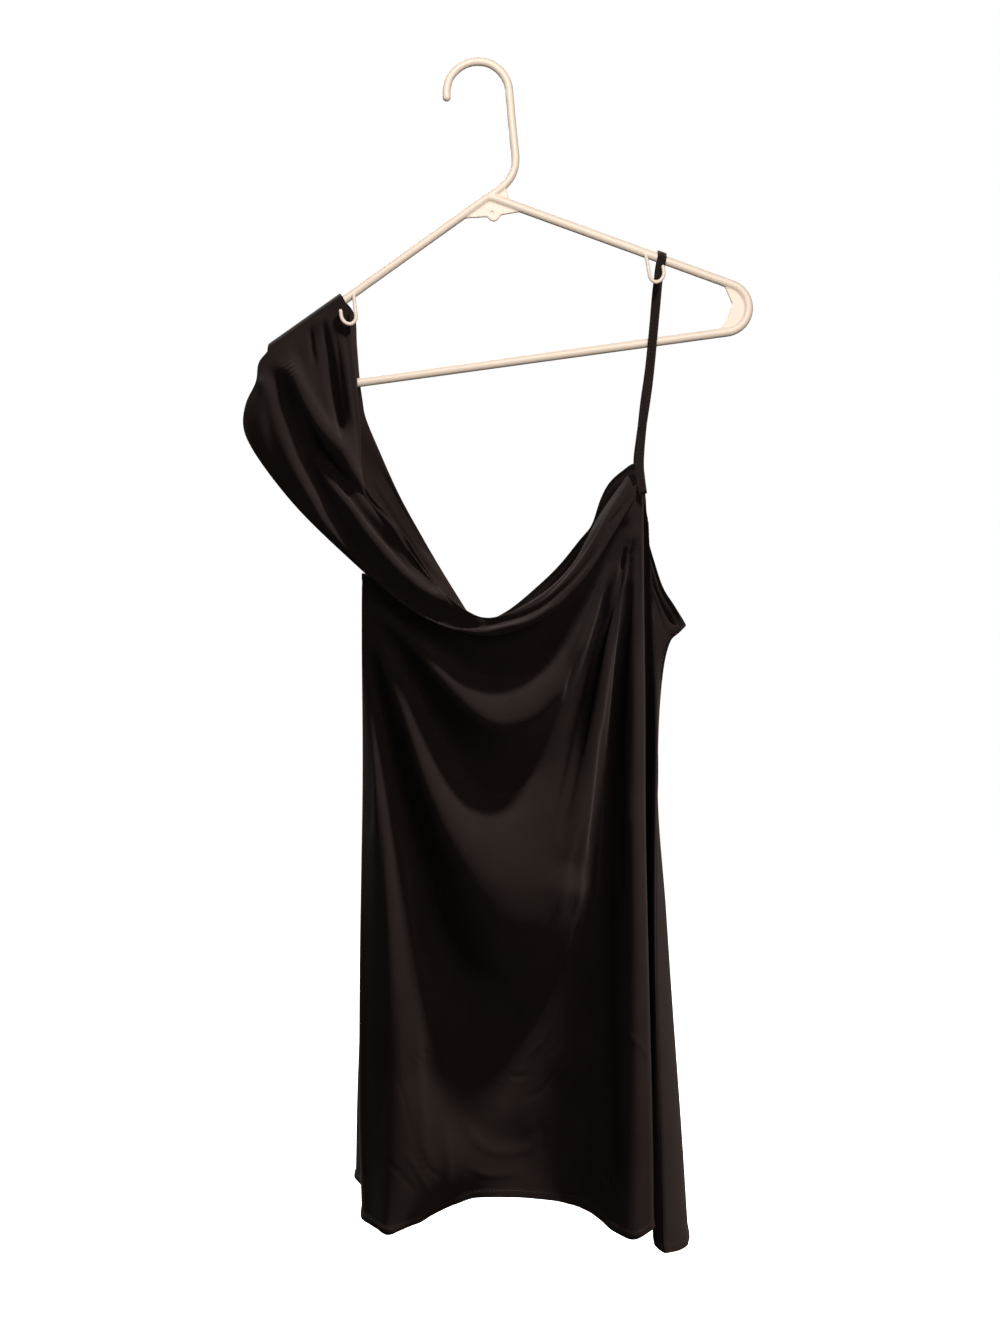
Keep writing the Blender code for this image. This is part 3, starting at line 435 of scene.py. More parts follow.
SLEEVE_CREASES = [
    (-2.2, 4.0, 0.8, [
        (-165, -252), (-158, -270), (-152, -288), (-143, -312), (-135, -333), (-127, -353), (-119, -369),
        (-107, -390), (-94, -410), (-78, -426), (-62, -441), (-45, -453), (-29, -461), (-13, -464), (4, -464),
    ]),
    (-2.0, 4.5, 0.8, [
        (-126, -313), (-114, -334), (-102, -346), (-90, -362),
        (-73, -382), (-61, -399), (-45, -419), (-30, -440),
    ]),
    (4.6, 9.5, 0.5, [
        (-158, -244), (-150, -259), (-140, -280), (-128, -300), (-111, -333), (-89, -365), (-65, -392),
        (-38, -422), (-20, -438), (-4, -450),
    ]),
    (-2.4, 2.6, 0.9, [(-121, -330), (-108, -350), (-92, -372), (-76, -392), (-60, -410), (-44, -428)]),
    (1.6, 4, 1.0, [
        (-124, -338), (-113, -355), (-101, -369), (-89, -387), (-77, -401), (-65, -415), (-53, -427),
        (-41, -437), (-29, -443), (-12, -453), (4, -460),
    ]),
    (-2.4, 3.2, 0.8, [
        (-127, -204), (-125, -221), (-122, -237), (-119, -258), (-116, -278), (-112, -299), (-109, -313),
        (-105, -326),
    ]),
    (-1.6, 2.2, 1.0, [(-137, -212), (-136, -226), (-134, -240), (-132, -252)]),
    (1.2, 3.5, 1.0, [
        (-132, -221), (-129, -246), (-125, -270), (-120, -287), (-115, -303), (-107, -320),
        (-97, -340),
    ]),
    (-1.2, 5, 1.0, [(-175, -267), (-172, -287), (-167, -312), (-158, -336), (-140, -361), (-119, -385)]),
    (1.1, 5, 1.0, [
        (-171, -252), (-165, -275), (-158, -300), (-149, -326), (-136, -350), (-118, -376),
        (-100, -398),
    ]),
    (-1.2, 4, 1.0, [(-150, -226), (-144, -246), (-136, -267), (-126, -285), (-114, -305)]),
    (0.9, 3, 1.0, [(-158, -232), (-152, -248), (-143, -268), (-131, -288)]),
    (-1.0, 1.8, 1.0, [(-109, -216), (-105, -237), (-102, -261), (-99, -282), (-97, -302), (-95, -328)]),
    (0.9, 1.8, 1.0, [(-106, -212), (-102, -237), (-99, -261), (-96, -286), (-94, -311)]),
    (-0.8, 1.5, 1.0, [(-117, -215), (-113, -240), (-109, -268), (-104, -300)]),
    (-1.8, 1.8, 0.8, [
        (-28, -461), (-12, -465), (4, -465), (20, -461), (36, -457), (52, -450), (64, -441), (80, -427),
        (92, -413), (100, -402), (108, -387), (112, -379), (121, -367), (128, -353),
    ]),
    (1.5, 2.2, 1.0, [
        (-105, -403), (-91, -420), (-77, -434), (-60, -446), (-44, -457), (-28, -466), (-12, -469), (4, -470),
        (24, -466), (44, -461), (64, -448), (80, -436),
    ]),
    (-0.9, 1.3, 1.0, [(40, -452), (56, -441), (72, -425), (86, -407), (98, -388), (108, -368)]),
    (0.8, 1.3, 1.0, [(20, -455), (38, -449), (56, -437), (72, -421), (88, -399), (101, -376)]),
]
BACK_SLEEVE_CREASES = [
    (-2.0, 5, 0.9, [(-160, -255), (-146, -290), (-128, -328), (-106, -366), (-86, -398)]),
    (1.8, 5, 1.0, [(-146, -246), (-130, -282), (-110, -322), (-86, -362), (-58, -404)]),
    (-1.8, 3, 1.0, [(-122, -206), (-116, -240), (-106, -276), (-92, -312)]),
    (1.2, 3, 1.0, [(-132, -214), (-124, -250), (-112, -288), (-98, -322)]),
    (-1.2, 4, 1.0, [(-172, -270), (-166, -300), (-150, -334), (-128, -368)]),
    (-1.2, 2.5, 1.0, [(-92, -330), (-72, -362), (-50, -396), (-28, -426)]),
    (1.0, 2.5, 1.0, [(-86, -322), (-66, -356), (-44, -390), (-22, -422)]),
]

# Distance from an edge of the rows that draw its turned band, and where its stitches lie
STITCH_LINE = 5.1
EDGE_STEPS = (0, 0.5, 1.2, 2, 3, 4, 4.7, STITCH_LINE, 5.5, 6, 6.6, 7.5, 9, 11)
BAND_SOFTNESS = 0.8
GROOVE_DEPTH = 0.45
GROOVE_WIDTH = 0.45
SEAM_WIDTH = 1.3
SEAM_DEPTH = 0.7
# Ripple of the hem: height, reach above the hem, and its waves as length over 2 pi, start, share
RIPPLE_HEIGHT = 0.25
RIPPLE_REACH = 26.0
RIPPLE_WAVES = ((5.7, 0.0, 1.0), (3.1, 1.3, 0.7), (9.3, 0.4, 0.5))
# Distances from the edges in which the creases die away, and the share of them that stays
TOP_CALM = 12.0
HEM_CALM = 9.0
EDGE_CREASES = 0.25
DRAPE_TOP_CALM = (6.0, 14.0)
DRAPE_EDGE_CALM = 2.5
DRAPE_UNEVEN = 0.6
# Stitches stand out of the cloth by this, and keep off the side seams and the back's left turn
STITCH_LIFT = 0.12
SEAM_COLUMNS = 2
LEFT_TURN_COLUMNS = 30

# Fine grids
FINE_ROWS = 221
FINE_DRAPE_ROWS = 301
FINE_DRAPE_COLUMNS = 121
FINE_BACK_DRAPE_ROWS = 201
FINE_BACK_DRAPE_COLUMNS = 101
WRAP_ROWS = 9

# Cut sizes in metres: width and length of the piece of cloth, its flat area and how it hangs
SHEETS = {
    "front_panel": {"flat": (0.37, 0.62), "area": 0.20, "held": "hung", "rests_on": ("strap",)},
    "back_panel": {"flat": (0.37, 0.60), "area": 0.20, "held": "hung", "rests_on": ("strap",)},
    "front_drape": {"flat": (0.12, 0.40), "area": 0.026, "held": "draped", "rests_on": ("hanger",)},
    "back_drape": {"flat": (0.12, 0.28), "area": 0.022, "held": "draped", "rests_on": ("hanger",)},
    "strap": {"flat": (0.010, 0.42), "held": "hung", "rests_on": ("hanger",)},
}
# Painted light and shade: brightness of each piece's cloth against the others, though all are one jersey; the
# strap and the drapes on top are lighter, the back panel darker
PAINTED_LIGHT_TONES = {"front_panel": 1.0, "back_panel": 0.96, "front_drape": 1.04, "back_drape": 1.04, "strap": 1.08}

# Working values: points on smoothed lines and curves, and points worked out in one go
SPLINE_STEPS = 17
FOLD_POINTS = 40
TOP_POINTS = 26
HEM_POINTS = 24
RIB_POINTS = 80
EDGE_POINTS = 120
CREASE_POINTS = 70
STRAP_POINTS = (110, 25, 100)
HOOK_POINTS = 80
STRAP_HOOK_POINTS = 44
BEND_POINTS = 24
APEX_POINTS = 9
TUBE_SIDES = 32
DRILL_SIDES = 24
CHUNK = 4000
# A crease reaches this many widths to each side, and ends over a length or a share of its own
CREASE_REACH = 3.2
CREASE_END = 24.0
CREASE_END_SHARE = 0.35
UNEVEN = 0.9
# Slow waves of the hanging cloth: length across and along over 2 pi, and where they start
SLOW_WAVES = ((19, 61, 0.4), (-27, 43, 1.9), (13, -87, 3.1), (-16, -52, 5.2), (34, 31, 0.7))
RIM_STEPS = 5

# Finishes: the darkest and the lightest cloth against its base colour, and how far painted shade darkens the
# knit's hollows
CLOTH_DEEP = 0.72
CLOTH_LIT = 1.2
KNIT_SHADE = 0.35
LINT = (0.32, 0.30, 0.28, 1.0)
LINT_SHARE = 0.12
THREAD_DEEP = 1.1
THREAD_LIT = 2.1
PLASTIC_WARM = 0.93
DIRT = (0.45, 0.36, 0.28, 1.0)
DIRT_SHARE = 0.25
GRAIN_SHARE = 0.03

# Camera and floor: the eye is level, straight in front of the dress
EYE_DISTANCE = 1400.0
AIM_X = 19.9
AIM_Z = -497.5
LENS = 45.6
SENSOR = 36.0
FLOOR_REACH = 4.0
# Lamps in metres: where they hang, the point they face, and their width
LAMPS = {
    "fill_light": ((0.75, -1.75, -0.05), (0.0, 0.0, -0.5), 1.0),
    "key_light": ((0.93, -0.50, 1.62), (0.02, 0.0, -0.55), 0.22),
    "back_light": ((-0.8, 0.72, 1.55), (0.02, 0.05, -0.55), 0.3),
    "hanger_light": ((0.05, -1.2, 0.3), (0.02, 0.0, -0.1), 0.8),
    "hanger_back_light": ((-0.4, 1.0, 0.6), (0.02, 0.0, -0.1), 0.8),
    "inner_light": ((0.5, -0.9, 0.4), (-0.06, 0.0, -0.36), 0.3),
}


def spline(points, count):
    """Even points along a smooth curve through the given ones."""
    p = np.asarray(points, float)
    if len(p) == 2:
        return p[0] + np.linspace(0, 1, count)[:, None] * (p[1] - p[0])
    q = np.vstack([2 * p[0] - p[1], p, 2 * p[-1] - p[-2]])
    knots = np.concatenate([[0], np.cumsum(np.sqrt(np.linalg.norm(np.diff(q, axis=0), axis=1)))])
    fine = []
    for i in range(1, len(q) - 2):
        t0, t1, t2, t3 = knots[i - 1:i + 3]
        t = np.linspace(t1, t2, SPLINE_STEPS)[:, None]
        a1 = (t1 - t) / (t1 - t0) * q[i - 1] + (t - t0) / (t1 - t0) * q[i]
        a2 = (t2 - t) / (t2 - t1) * q[i] + (t - t1) / (t2 - t1) * q[i + 1]
        a3 = (t3 - t) / (t3 - t2) * q[i + 1] + (t - t2) / (t3 - t2) * q[i + 2]
        b1 = (t2 - t) / (t2 - t0) * a1 + (t - t0) / (t2 - t0) * a2
        b2 = (t3 - t) / (t3 - t1) * a2 + (t - t1) / (t3 - t1) * a3
        fine.append((t2 - t) / (t2 - t1) * b1 + (t - t1) / (t2 - t1) * b2)
    return evenly(np.vstack(fine), count)


def run_of(points):
    """Distance along a line of points, at each of them."""
    return np.concatenate([[0], np.cumsum(np.linalg.norm(np.diff(points, axis=0), axis=1))])


def evenly(points, count):
    """A line of points resampled to even steps."""
    run = run_of(points)
    at = np.linspace(0, run[-1], count)
    return np.column_stack([np.interp(at, run, points[:, k]) for k in range(points.shape[1])])


def unit(v):
    """The vectors at length one."""
    return v / np.maximum(np.linalg.norm(v, axis=-1, keepdims=True), 1e-9)


def smooth(t):
    """Soft step from 0 to 1."""
    t = np.clip(t, 0, 1)
    return t * t * (3 - 2 * t)


def relief(lines):
    """A smooth face through all the fold lines, as a function that gives depth y at x, z."""
    steps = [max(3, int(run_of(np.asarray(line, float))[-1] / LINE_STEP)) for line in lines]
    dots = np.vstack([spline(line, count) for line, count in zip(lines, steps)])
    flat = dots[:, [0, 2]]
    far = np.linalg.norm(flat[:, None] - flat[None], axis=2)
    count = len(dots)
    system = np.ones((count + 1, count + 1))
    system[:count, :count] = np.sqrt(far ** 2 + FOLD_SOFTNESS ** 2) - FOLD_EASE * np.eye(count)
    system[count, count] = 0
    weights = np.linalg.solve(system, np.append(dots[:, 1], 0))

    def depth(x, z):
        x, z = np.broadcast_arrays(np.asarray(x, float), np.asarray(z, float))
        where = np.stack([x.ravel(), z.ravel()], axis=-1)
        made = np.empty(len(where))
        for first in range(0, len(where), CHUNK):
            part = slice(first, first + CHUNK)
            away = np.linalg.norm(where[part, None] - flat, axis=2)
            made[part] = np.sqrt(away ** 2 + FOLD_SOFTNESS ** 2) @ weights[:count] + weights[count]
        return made.reshape(x.shape)

    return depth


def creases(x, z, table):
    """Height out of the cloth at x, z that a table of small creases gives."""
    made = np.zeros(x.shape)
    for height, width, lean, line in table:
        p = spline(line, CREASE_POINTS)
        along = unit(np.gradient(p, axis=0))
        reach = CREASE_REACH * width
        low, high = p.min(axis=0) - reach, p.max(axis=0) + reach
        near = (x > low[0]) & (x < high[0]) & (z > low[1]) & (z < high[1])
        if not near.any():
            continue
        q = np.stack([x[near], z[near]], axis=-1)
        away = q[:, None] - p[None]
        closest = np.linalg.norm(away, axis=2).argmin(axis=1)
        step = away[np.arange(len(q)), closest]
        t = along[closest]
        across = t[:, 0] * step[:, 1] - t[:, 1] * step[:, 0]
        beyond = np.abs((t * step).sum(axis=1))
        size = np.where(across > 0, width, width * lean)
        run = run_of(p)
        end = min(CREASE_END, CREASE_END_SHARE * run[-1])
        fade = smooth(run[closest] / end) * smooth((run[-1] - run[closest]) / end)
        beyond = np.where((closest == 0) | (closest == len(p) - 1), beyond, 0)
        made[near] += height * fade * np.exp(-(across / size) ** 2 - (beyond / width) ** 2)
    return made


def unevenness(x, z):
    """The slow, slight waviness of hanging cloth, in millimetres."""
    made = 0
    for along_x, along_z, start in SLOW_WAVES:
        made = made + np.sin(x / along_x + z / along_z + start)
    return made * UNEVEN / len(SLOW_WAVES)


def grid_normals(grid, ring=False):
    """Normals of a grid of points; with ring, the first axis closes on itself."""
    if ring:
        along = np.roll(grid, -1, axis=0) - np.roll(grid, 1, axis=0)
    else:
        along = np.gradient(grid, axis=0)
    across = np.gradient(grid, axis=1)
    return -unit(np.cross(unit(along), unit(across)))


def at_height(rib, z):
    """The x and y of a rib at the given heights."""
    dense = spline(rib, RIB_POINTS)[::-1]
    return np.interp(z, dense[:, 2], dense[:, 0]), np.interp(z, dense[:, 2], dense[:, 1])


def edge_height(edge, x):
    """Height of an edge, given as x and z, at the given x."""
    dense = spline(edge, EDGE_POINTS)
    order = np.argsort(dense[:, 0])
    return np.interp(x, dense[order, 0], dense[order, 1])


def blend(four, t):
    """Cubic through four ribs, between the second and the third."""
    a, b, c, d = four
    size = [np.linalg.norm(q - p, axis=1)[:, None] + 1e-9 for p, q in ((a, b), (b, c), (c, d))]
    start = (c - b) * 0.5 + (b - a) * 0.5 * np.minimum(size[1] / size[0], 1)
    end = (c - b) * 0.5 + (d - c) * 0.5 * np.minimum(size[1] / size[2], 1)
    h = (2 * t ** 3 - 3 * t ** 2 + 1, t ** 3 - 2 * t ** 2 + t, -2 * t ** 3 + 3 * t ** 2, t ** 3 - t ** 2)
    return h[0] * b + h[1] * start + h[2] * c + h[3] * end


def off_arm():
    """The direction that points straight up off the arm under the drape."""
    (x0, z0), (x1, z1) = DRAPE_ON_ARM
    return unit(np.array([z0 - z1, 0.0, x1 - x0]))


def over_arm(side, count):
    """Outer and inner edge of the rows that wrap the arm, from its top to its widest point."""
    reach = TUBE + GAP + WALL
    rows = []
    for angle in np.linspace(0, math.pi / 2, count):
        y = side * max(reach * math.sin(angle), GAP / 2)
        lift = off_arm() * reach * math.cos(angle)
        sleeve_end, neck_end = [np.array([x, y, z]) + lift for x, z in DRAPE_ON_ARM]
        sleeve_end[0] += SLEEVE_ROUND * math.cos(angle)
        sleeve_end[2] += SLEEVE_ROUND * math.cos(angle) * SLEEVE_ROUND_RISE
        rows.append([sleeve_end, neck_end])
    return np.array(rows)


def drape_sections(edges, rows, wrap_rows):
    """Outer and inner edge of a drape, resampled to the number of rows."""
    wrap = over_arm(1 if edges[0][0][1] > 0 else -1, wrap_rows)
    ends = []
    for k in (0, 1):
        rest = spline([wrap[-1, k]] + [edge[k] for edge in edges], rows - len(wrap) + 1)
        ends.append(np.vstack([wrap[:, k], rest[1:]]))
    return ends


def drape_depth(edges, folds):
    """Depth of a drape: through its two edges and its ridges and valleys."""
    at_back = edges is BACK_DRAPE_EDGES
    sections = drape_sections(edges, BACK_DRAPE_ROWS if at_back else DRAPE_ROWS, DRAPE_WRAP_ROWS)
    outer, inner = [side[DRAPE_WRAP_ROWS - 1:] for side in sections]
    ends = [np.array([outer[0], inner[0]])]
    if at_back:
        ends.append(np.array([outer[-1], inner[-1]]))
    return relief([outer, inner] + ends + list(folds.values()))


def drape_grid(edges, folds, rows, columns):
    """Rows from the shoulder down, columns from the outer edge to the neck edge."""
    outer, inner = drape_sections(edges, rows, WRAP_ROWS)
    share = np.linspace(0, 1, columns)[None, :, None]
    grid = outer[:, None] * (1 - share) + inner[:, None] * share
    below = slice(WRAP_ROWS, None)
    grid[below, :, 1] = drape_depth(edges, folds)(grid[below, :, 0], grid[below, :, 2])
    return grid


def row_heights(top, low):
    """Heights of one column, with close rows at both edges for their turned bands."""
    steps = np.array(EDGE_STEPS)
    middle = np.linspace(top - steps[-1], low + steps[-1], FINE_ROWS + 2 - 2 * len(steps))[1:-1]
    return np.concatenate([top - steps, middle, low + steps[::-1]])


def behind_roll(depth, over):
    """The same depth, kept behind the cowl roll wherever the roll covers the panel."""
    low = np.array([(edge[0][0], edge[0][2]) for edge in FRONT_DRAPE_EDGES[4:]])

    def kept(x, z):
        edge = edge_height(low, x)
        inside = np.clip((z - edge + ROLL_TUCK_REACH) / ROLL_TUCK_REACH, 0, 1)
        limit = over(x, np.maximum(z, edge)) + WALL + BEHIND_ROLL - ROLL_TUCK * (1 - inside)
        return np.where(inside > 0, np.maximum(depth(x, z), limit), depth(x, z))

    return kept


def body_depth():
    """Depth of the front panel's face between its left edge and the lip by the side fold."""
    lines = [spline(fold, FOLD_POINTS) for fold in BODY_FOLDS.values()]
    over = drape_depth(FRONT_DRAPE_EDGES, DRAPE_FOLDS)
    top_x = np.linspace(-93, 133, TOP_POINTS)
    top_z = edge_height(FRONT_TOP, top_x)
    lines.append(np.column_stack([top_x, over(top_x, top_z) + WALL + BEHIND_ROLL, top_z]))
    hem_x = np.linspace(FRONT_HEM[0][0], FRONT_HEM[-1][0], HEM_POINTS)
    hem_y = np.interp(hem_x, *zip(*HEM_DEPTH))
    lines.append(np.column_stack([hem_x, hem_y, edge_height(FRONT_HEM, hem_x)]))
    lines += [spline(BODY_RIBS[name], FOLD_POINTS) for name in ("left_edge", "lip")]
    return behind_roll(relief(lines), over)


def body_column(first, second, share, depth):
    """One upright line of points between two ribs."""
    names = list(BODY_RIBS)
    around = [names.index(first) - 1, names.index(first), names.index(second), names.index(second) + 1]
    four = [np.array(BODY_RIBS[names[i % len(names)]], float) for i in around]
    if first == "left_edge" and share > 0:
        top_x = four[1][0, 0] + (four[2][0, 0] - four[1][0, 0]) * share
        low_x = four[1][-1, 0] + (four[2][-1, 0] - four[1][-1, 0]) * share
        z = row_heights(edge_height(FRONT_TOP, top_x), edge_height(FRONT_HEM, low_x))
        left, _ = at_height(four[1], z)
        right, _ = at_height(four[2], z)
        x = left + (right - left) * share
        return np.column_stack([x, depth(x, z), z])
    line = blend(four, share)
    if first == "fold_wall" and share > 0:
        line[0, 2] = edge_height(FRONT_ARMHOLE, line[0, 0])
    if first in BACK_NECK_STRIPS:
        line[0, 2] = edge_height(BACK_TOP, line[0, 0])
    z = row_heights(line[0, 2], line[-1, 2])
    x, y = at_height(line, z)
    return np.column_stack([x, y, z])


def body_ring():
    """Points of the whole body, one column after the other, and each column's panel."""
    depth = body_depth()
    columns, panels = [], []
    for first, second, count, panel in BODY_STRIPS:
        for k in range(count):
            columns.append(body_column(first, second, k / count, depth))
            panels.append(panel)
    return np.array(columns), panels


def turned_band(away, cloth):
    """Height of a turned edge at a distance from it: a raised band with a stitched groove."""
    raised = cloth.band_raise / MM * smooth((cloth.band / MM + BAND_SOFTNESS - away) / (2 * BAND_SOFTNESS))
    groove = GROOVE_DEPTH * np.exp(-((away - cloth.stitch_line / MM) / GROOVE_WIDTH) ** 2)
    return raised - groove


def body_heights(columns, panels, cloth):
    """How far each point of the body stands out from its large folds."""
    x, z = columns[..., 0], columns[..., 2]
    front = np.array([panel == "front" for panel in panels])
    top_away = columns[:, :1, 2] - z
    hem_away = z - columns[:, -1:, 2]
    made = np.zeros(x.shape)
    strength = cloth.crease_strength
    fade = smooth(top_away / TOP_CALM) * smooth(hem_away / HEM_CALM)
    made[front] = creases(x[front], z[front], FRONT_CREASES) * strength
    made[~front] = creases(x[~front], z[~front], BACK_CREASES) * strength
    made *= EDGE_CREASES + (1 - EDGE_CREASES) * fade
    made += unevenness(x, z) * fade
    made += turned_band(hem_away, cloth) + turned_band(top_away, cloth)
    girth = run_of(columns[:, -1])[:, None]
    ripple = sum(share * np.sin(girth / length + start) for length, start, share in RIPPLE_WAVES)
    made += RIPPLE_HEIGHT * ripple * np.clip(1 - hem_away / RIPPLE_REACH, 0, 1) ** 2
    for seam in (0, panels.index("back")):
        gap = np.linalg.norm(columns - columns[seam][None], axis=2)
        made -= SEAM_DEPTH * np.exp(-(gap / SEAM_WIDTH) ** 2)
    return made


def columns_before(rib):
    """How many columns of the body come before the strip that starts at a rib."""
    at = [first for first, *_ in BODY_STRIPS].index(rib)
    return sum(count for _, _, count, _ in BODY_STRIPS[:at])


def grid_rim(rows, columns):
    """Grid places round the rim of a grid, in order."""
    rim = [(i, 0) for i in range(rows)] + [(rows - 1, j) for j in range(1, columns)]
    rim += [(i, columns - 1) for i in range(rows - 2, -1, -1)] + [(0, j) for j in range(columns - 2, 0, -1)]
    return np.array(rim)


def quads(index):
    """Four-sided faces between neighbouring rows and columns of a grid of point numbers."""
    corners = [index[:-1, :-1], index[1:, :-1], index[1:, 1:], index[:-1, 1:]]
    return np.stack(corners, -1).reshape(-1, 4).tolist()


def placed(name, data):
    """An object in the scene, at the origin and unturned."""
    obj = bpy.data.objects.new(name, data)
    bpy.context.scene.collection.objects.link(obj)
    return obj


def placed_body(name, body):
    """An object from a bmesh, which is used up."""
    mesh = bpy.data.meshes.new(name)
    body.to_mesh(mesh)
    body.free()
    return placed(name, mesh)


def mesh_object(name, points, faces, uv):
    """A smooth-shaded object from points in millimetres, with its faces turned outwards."""
    mesh = bpy.data.meshes.new(name)
    mesh.from_pydata((np.asarray(points) * MM).tolist(), [], faces)
    body = bmesh.new()
    body.from_mesh(mesh)
    bmesh.ops.recalc_face_normals(body, faces=body.faces)
    body.to_mesh(mesh)
    body.free()
    mesh.polygons.foreach_set("use_smooth", [True] * len(mesh.polygons))
    corner = np.empty(len(mesh.loops), dtype=np.int32)
    mesh.loops.foreach_get("vertex_index", corner)
    layer = mesh.uv_layers.new(name="Cloth")
    layer.data.foreach_set("uv", np.asarray(uv)[corner].ravel())
    return placed(name, mesh)


def cloth_uv(grid):
    """Place on the cloth in metres, across and along, for the knit's pattern."""
    middle = grid[:, grid.shape[1] // 2]
    u = run_of(middle)
    v = np.linalg.norm(np.diff(grid, axis=1), axis=2).mean(axis=0)
    v = np.concatenate([[0], np.cumsum(v)])
    return np.stack(np.broadcast_arrays(u[:, None], v[None]), axis=-1) * MM


def shell(name, outer, wall):
    """A thin closed sheet under a grid of points, with rounded edges and a coarser inner face."""
    rows, columns = outer.shape[:2]
    normal = grid_normals(outer)
    inner = (outer - normal * wall)[::2, ::2]
    uv = cloth_uv(outer)
    rim = grid_rim(rows, columns)
    edge = outer[rim[:, 0], rim[:, 1]]
    n = normal[rim[:, 0], rim[:, 1]]
    inside = outer[np.clip(rim[:, 0], 1, rows - 2), np.clip(rim[:, 1], 1, columns - 2)]
    t = edge - inside
    t = unit(t - n * (t * n).sum(axis=1)[:, None])
    centre = edge - n * wall / 2
    turns = np.linspace(0, math.pi, RIM_STEPS + 1)[1:-1]
    loops = [centre + (n * math.cos(a) + t * math.sin(a)) * wall / 2 for a in turns]
    points = np.vstack([outer.reshape(-1, 3)] + loops + [inner.reshape(-1, 3)])
    rim_uv = uv[rim[:, 0], rim[:, 1]]
    places = np.vstack([uv.reshape(-1, 2)] + [rim_uv] * len(loops) + [uv[::2, ::2].reshape(-1, 2)])

    count = len(rim)
    first_loop = rows * columns
    first_inner = first_loop + count * len(loops)
    half = (columns + 1) // 2
    faces = quads(np.arange(rows * columns).reshape(rows, columns))
    index = first_inner + np.arange(((rows + 1) // 2) * half).reshape(-1, half)
    faces += [(a, d, c, b) for a, b, c, d in quads(index)]
    rings = [rim[:, 0] * columns + rim[:, 1]]
    rings += [first_loop + k * count + np.arange(count) for k in range(len(loops))]
    for one, two in zip(rings, rings[1:]):
        faces += np.stack([one, two, np.roll(two, -1), np.roll(one, -1)], -1).tolist()
    last = rings[-1]
    even = index[rim[::2, 0] // 2, rim[::2, 1] // 2]
    after = np.roll(even, -1)
    for k in range(count // 2):
        faces.append((last[2 * k], even[k], after[k], last[(2 * k + 2) % count], last[2 * k + 1]))
    return mesh_object(name, points, [[int(i) for i in face] for face in faces], places)


def socket_key(tree, name):
    """The identifier of a tree's named input."""
    return next(item.identifier for item in tree.interface.items_tree
                if item.item_type == "SOCKET" and item.in_out == "INPUT" and item.name == name)


def new_group(name, kind, inputs, outputs):
    """An empty node group with named sockets: name, socket type, default."""
    tree = bpy.data.node_groups.new(name, kind)
    for label, socket, default in inputs:
        made = tree.interface.new_socket(name=label, in_out="INPUT", socket_type=socket)
        if default is not None:
            made.default_value = default
    for label, socket in outputs:
        tree.interface.new_socket(name=label, in_out="OUTPUT", socket_type=socket)
    return tree


class Wiring:
    """Adds nodes to a tree and links them, left to right."""

    def __init__(self, tree):
        self.tree = tree
        self.column = 0

    def add(self, kind, settings=None, **inputs):
        """A node; each input is a socket of another node or a value, by its name or number."""
        node = self.tree.nodes.new(kind)
        self.column += 1
        node.location = (180 * self.column, -40 * (self.column % 5))
        for key, value in (settings or {}).items():
            setattr(node, key, value)
        for key, value in inputs.items():
            numbered = key[0] == "i" and key[1:].isdigit()
            socket = node.inputs[int(key[1:]) if numbered else key.replace("_", " ")]
            if isinstance(value, bpy.types.NodeSocket):
                self.tree.links.new(value, socket)
            else:
                socket.default_value = value
        return node

    def math(self, operation, a, b=0.0, c=0.0):
        """A maths node's result."""
        return self.add("ShaderNodeMath", {"operation": operation}, i0=a, i1=b, i2=c).outputs[0]


def tube_tree():
    """Geometry Nodes that sweep a round section along a line of edges."""
    if "Round tube" in bpy.data.node_groups:
        return bpy.data.node_groups["Round tube"]
    tree = new_group("Round tube", "GeometryNodeTree", [
        ("Geometry", "NodeSocketGeometry", None),
        ("Radius", "NodeSocketFloat", 0.003),
        ("Sides", "NodeSocketInt", 24),
        ("Material", "NodeSocketMaterial", None),
    ], [("Geometry", "NodeSocketGeometry")])
    w = Wiring(tree)
    given = w.add("NodeGroupInput").outputs
    curve = w.add("GeometryNodeMeshToCurve", i0=given["Geometry"])
    section = w.add("GeometryNodeCurvePrimitiveCircle", Resolution=given["Sides"], Radius=given["Radius"])
    swept = w.add("GeometryNodeCurveToMesh", Curve=curve.outputs[0], Profile_Curve=section.outputs[0],
                  Fill_Caps=True)
    real = w.add("GeometryNodeRealizeInstances", i0=swept.outputs[0])
    painted = w.add("GeometryNodeSetMaterial", Geometry=real.outputs[0], Material=given["Material"])
    w.add("NodeGroupOutput", i0=painted.outputs[0])
    return tree


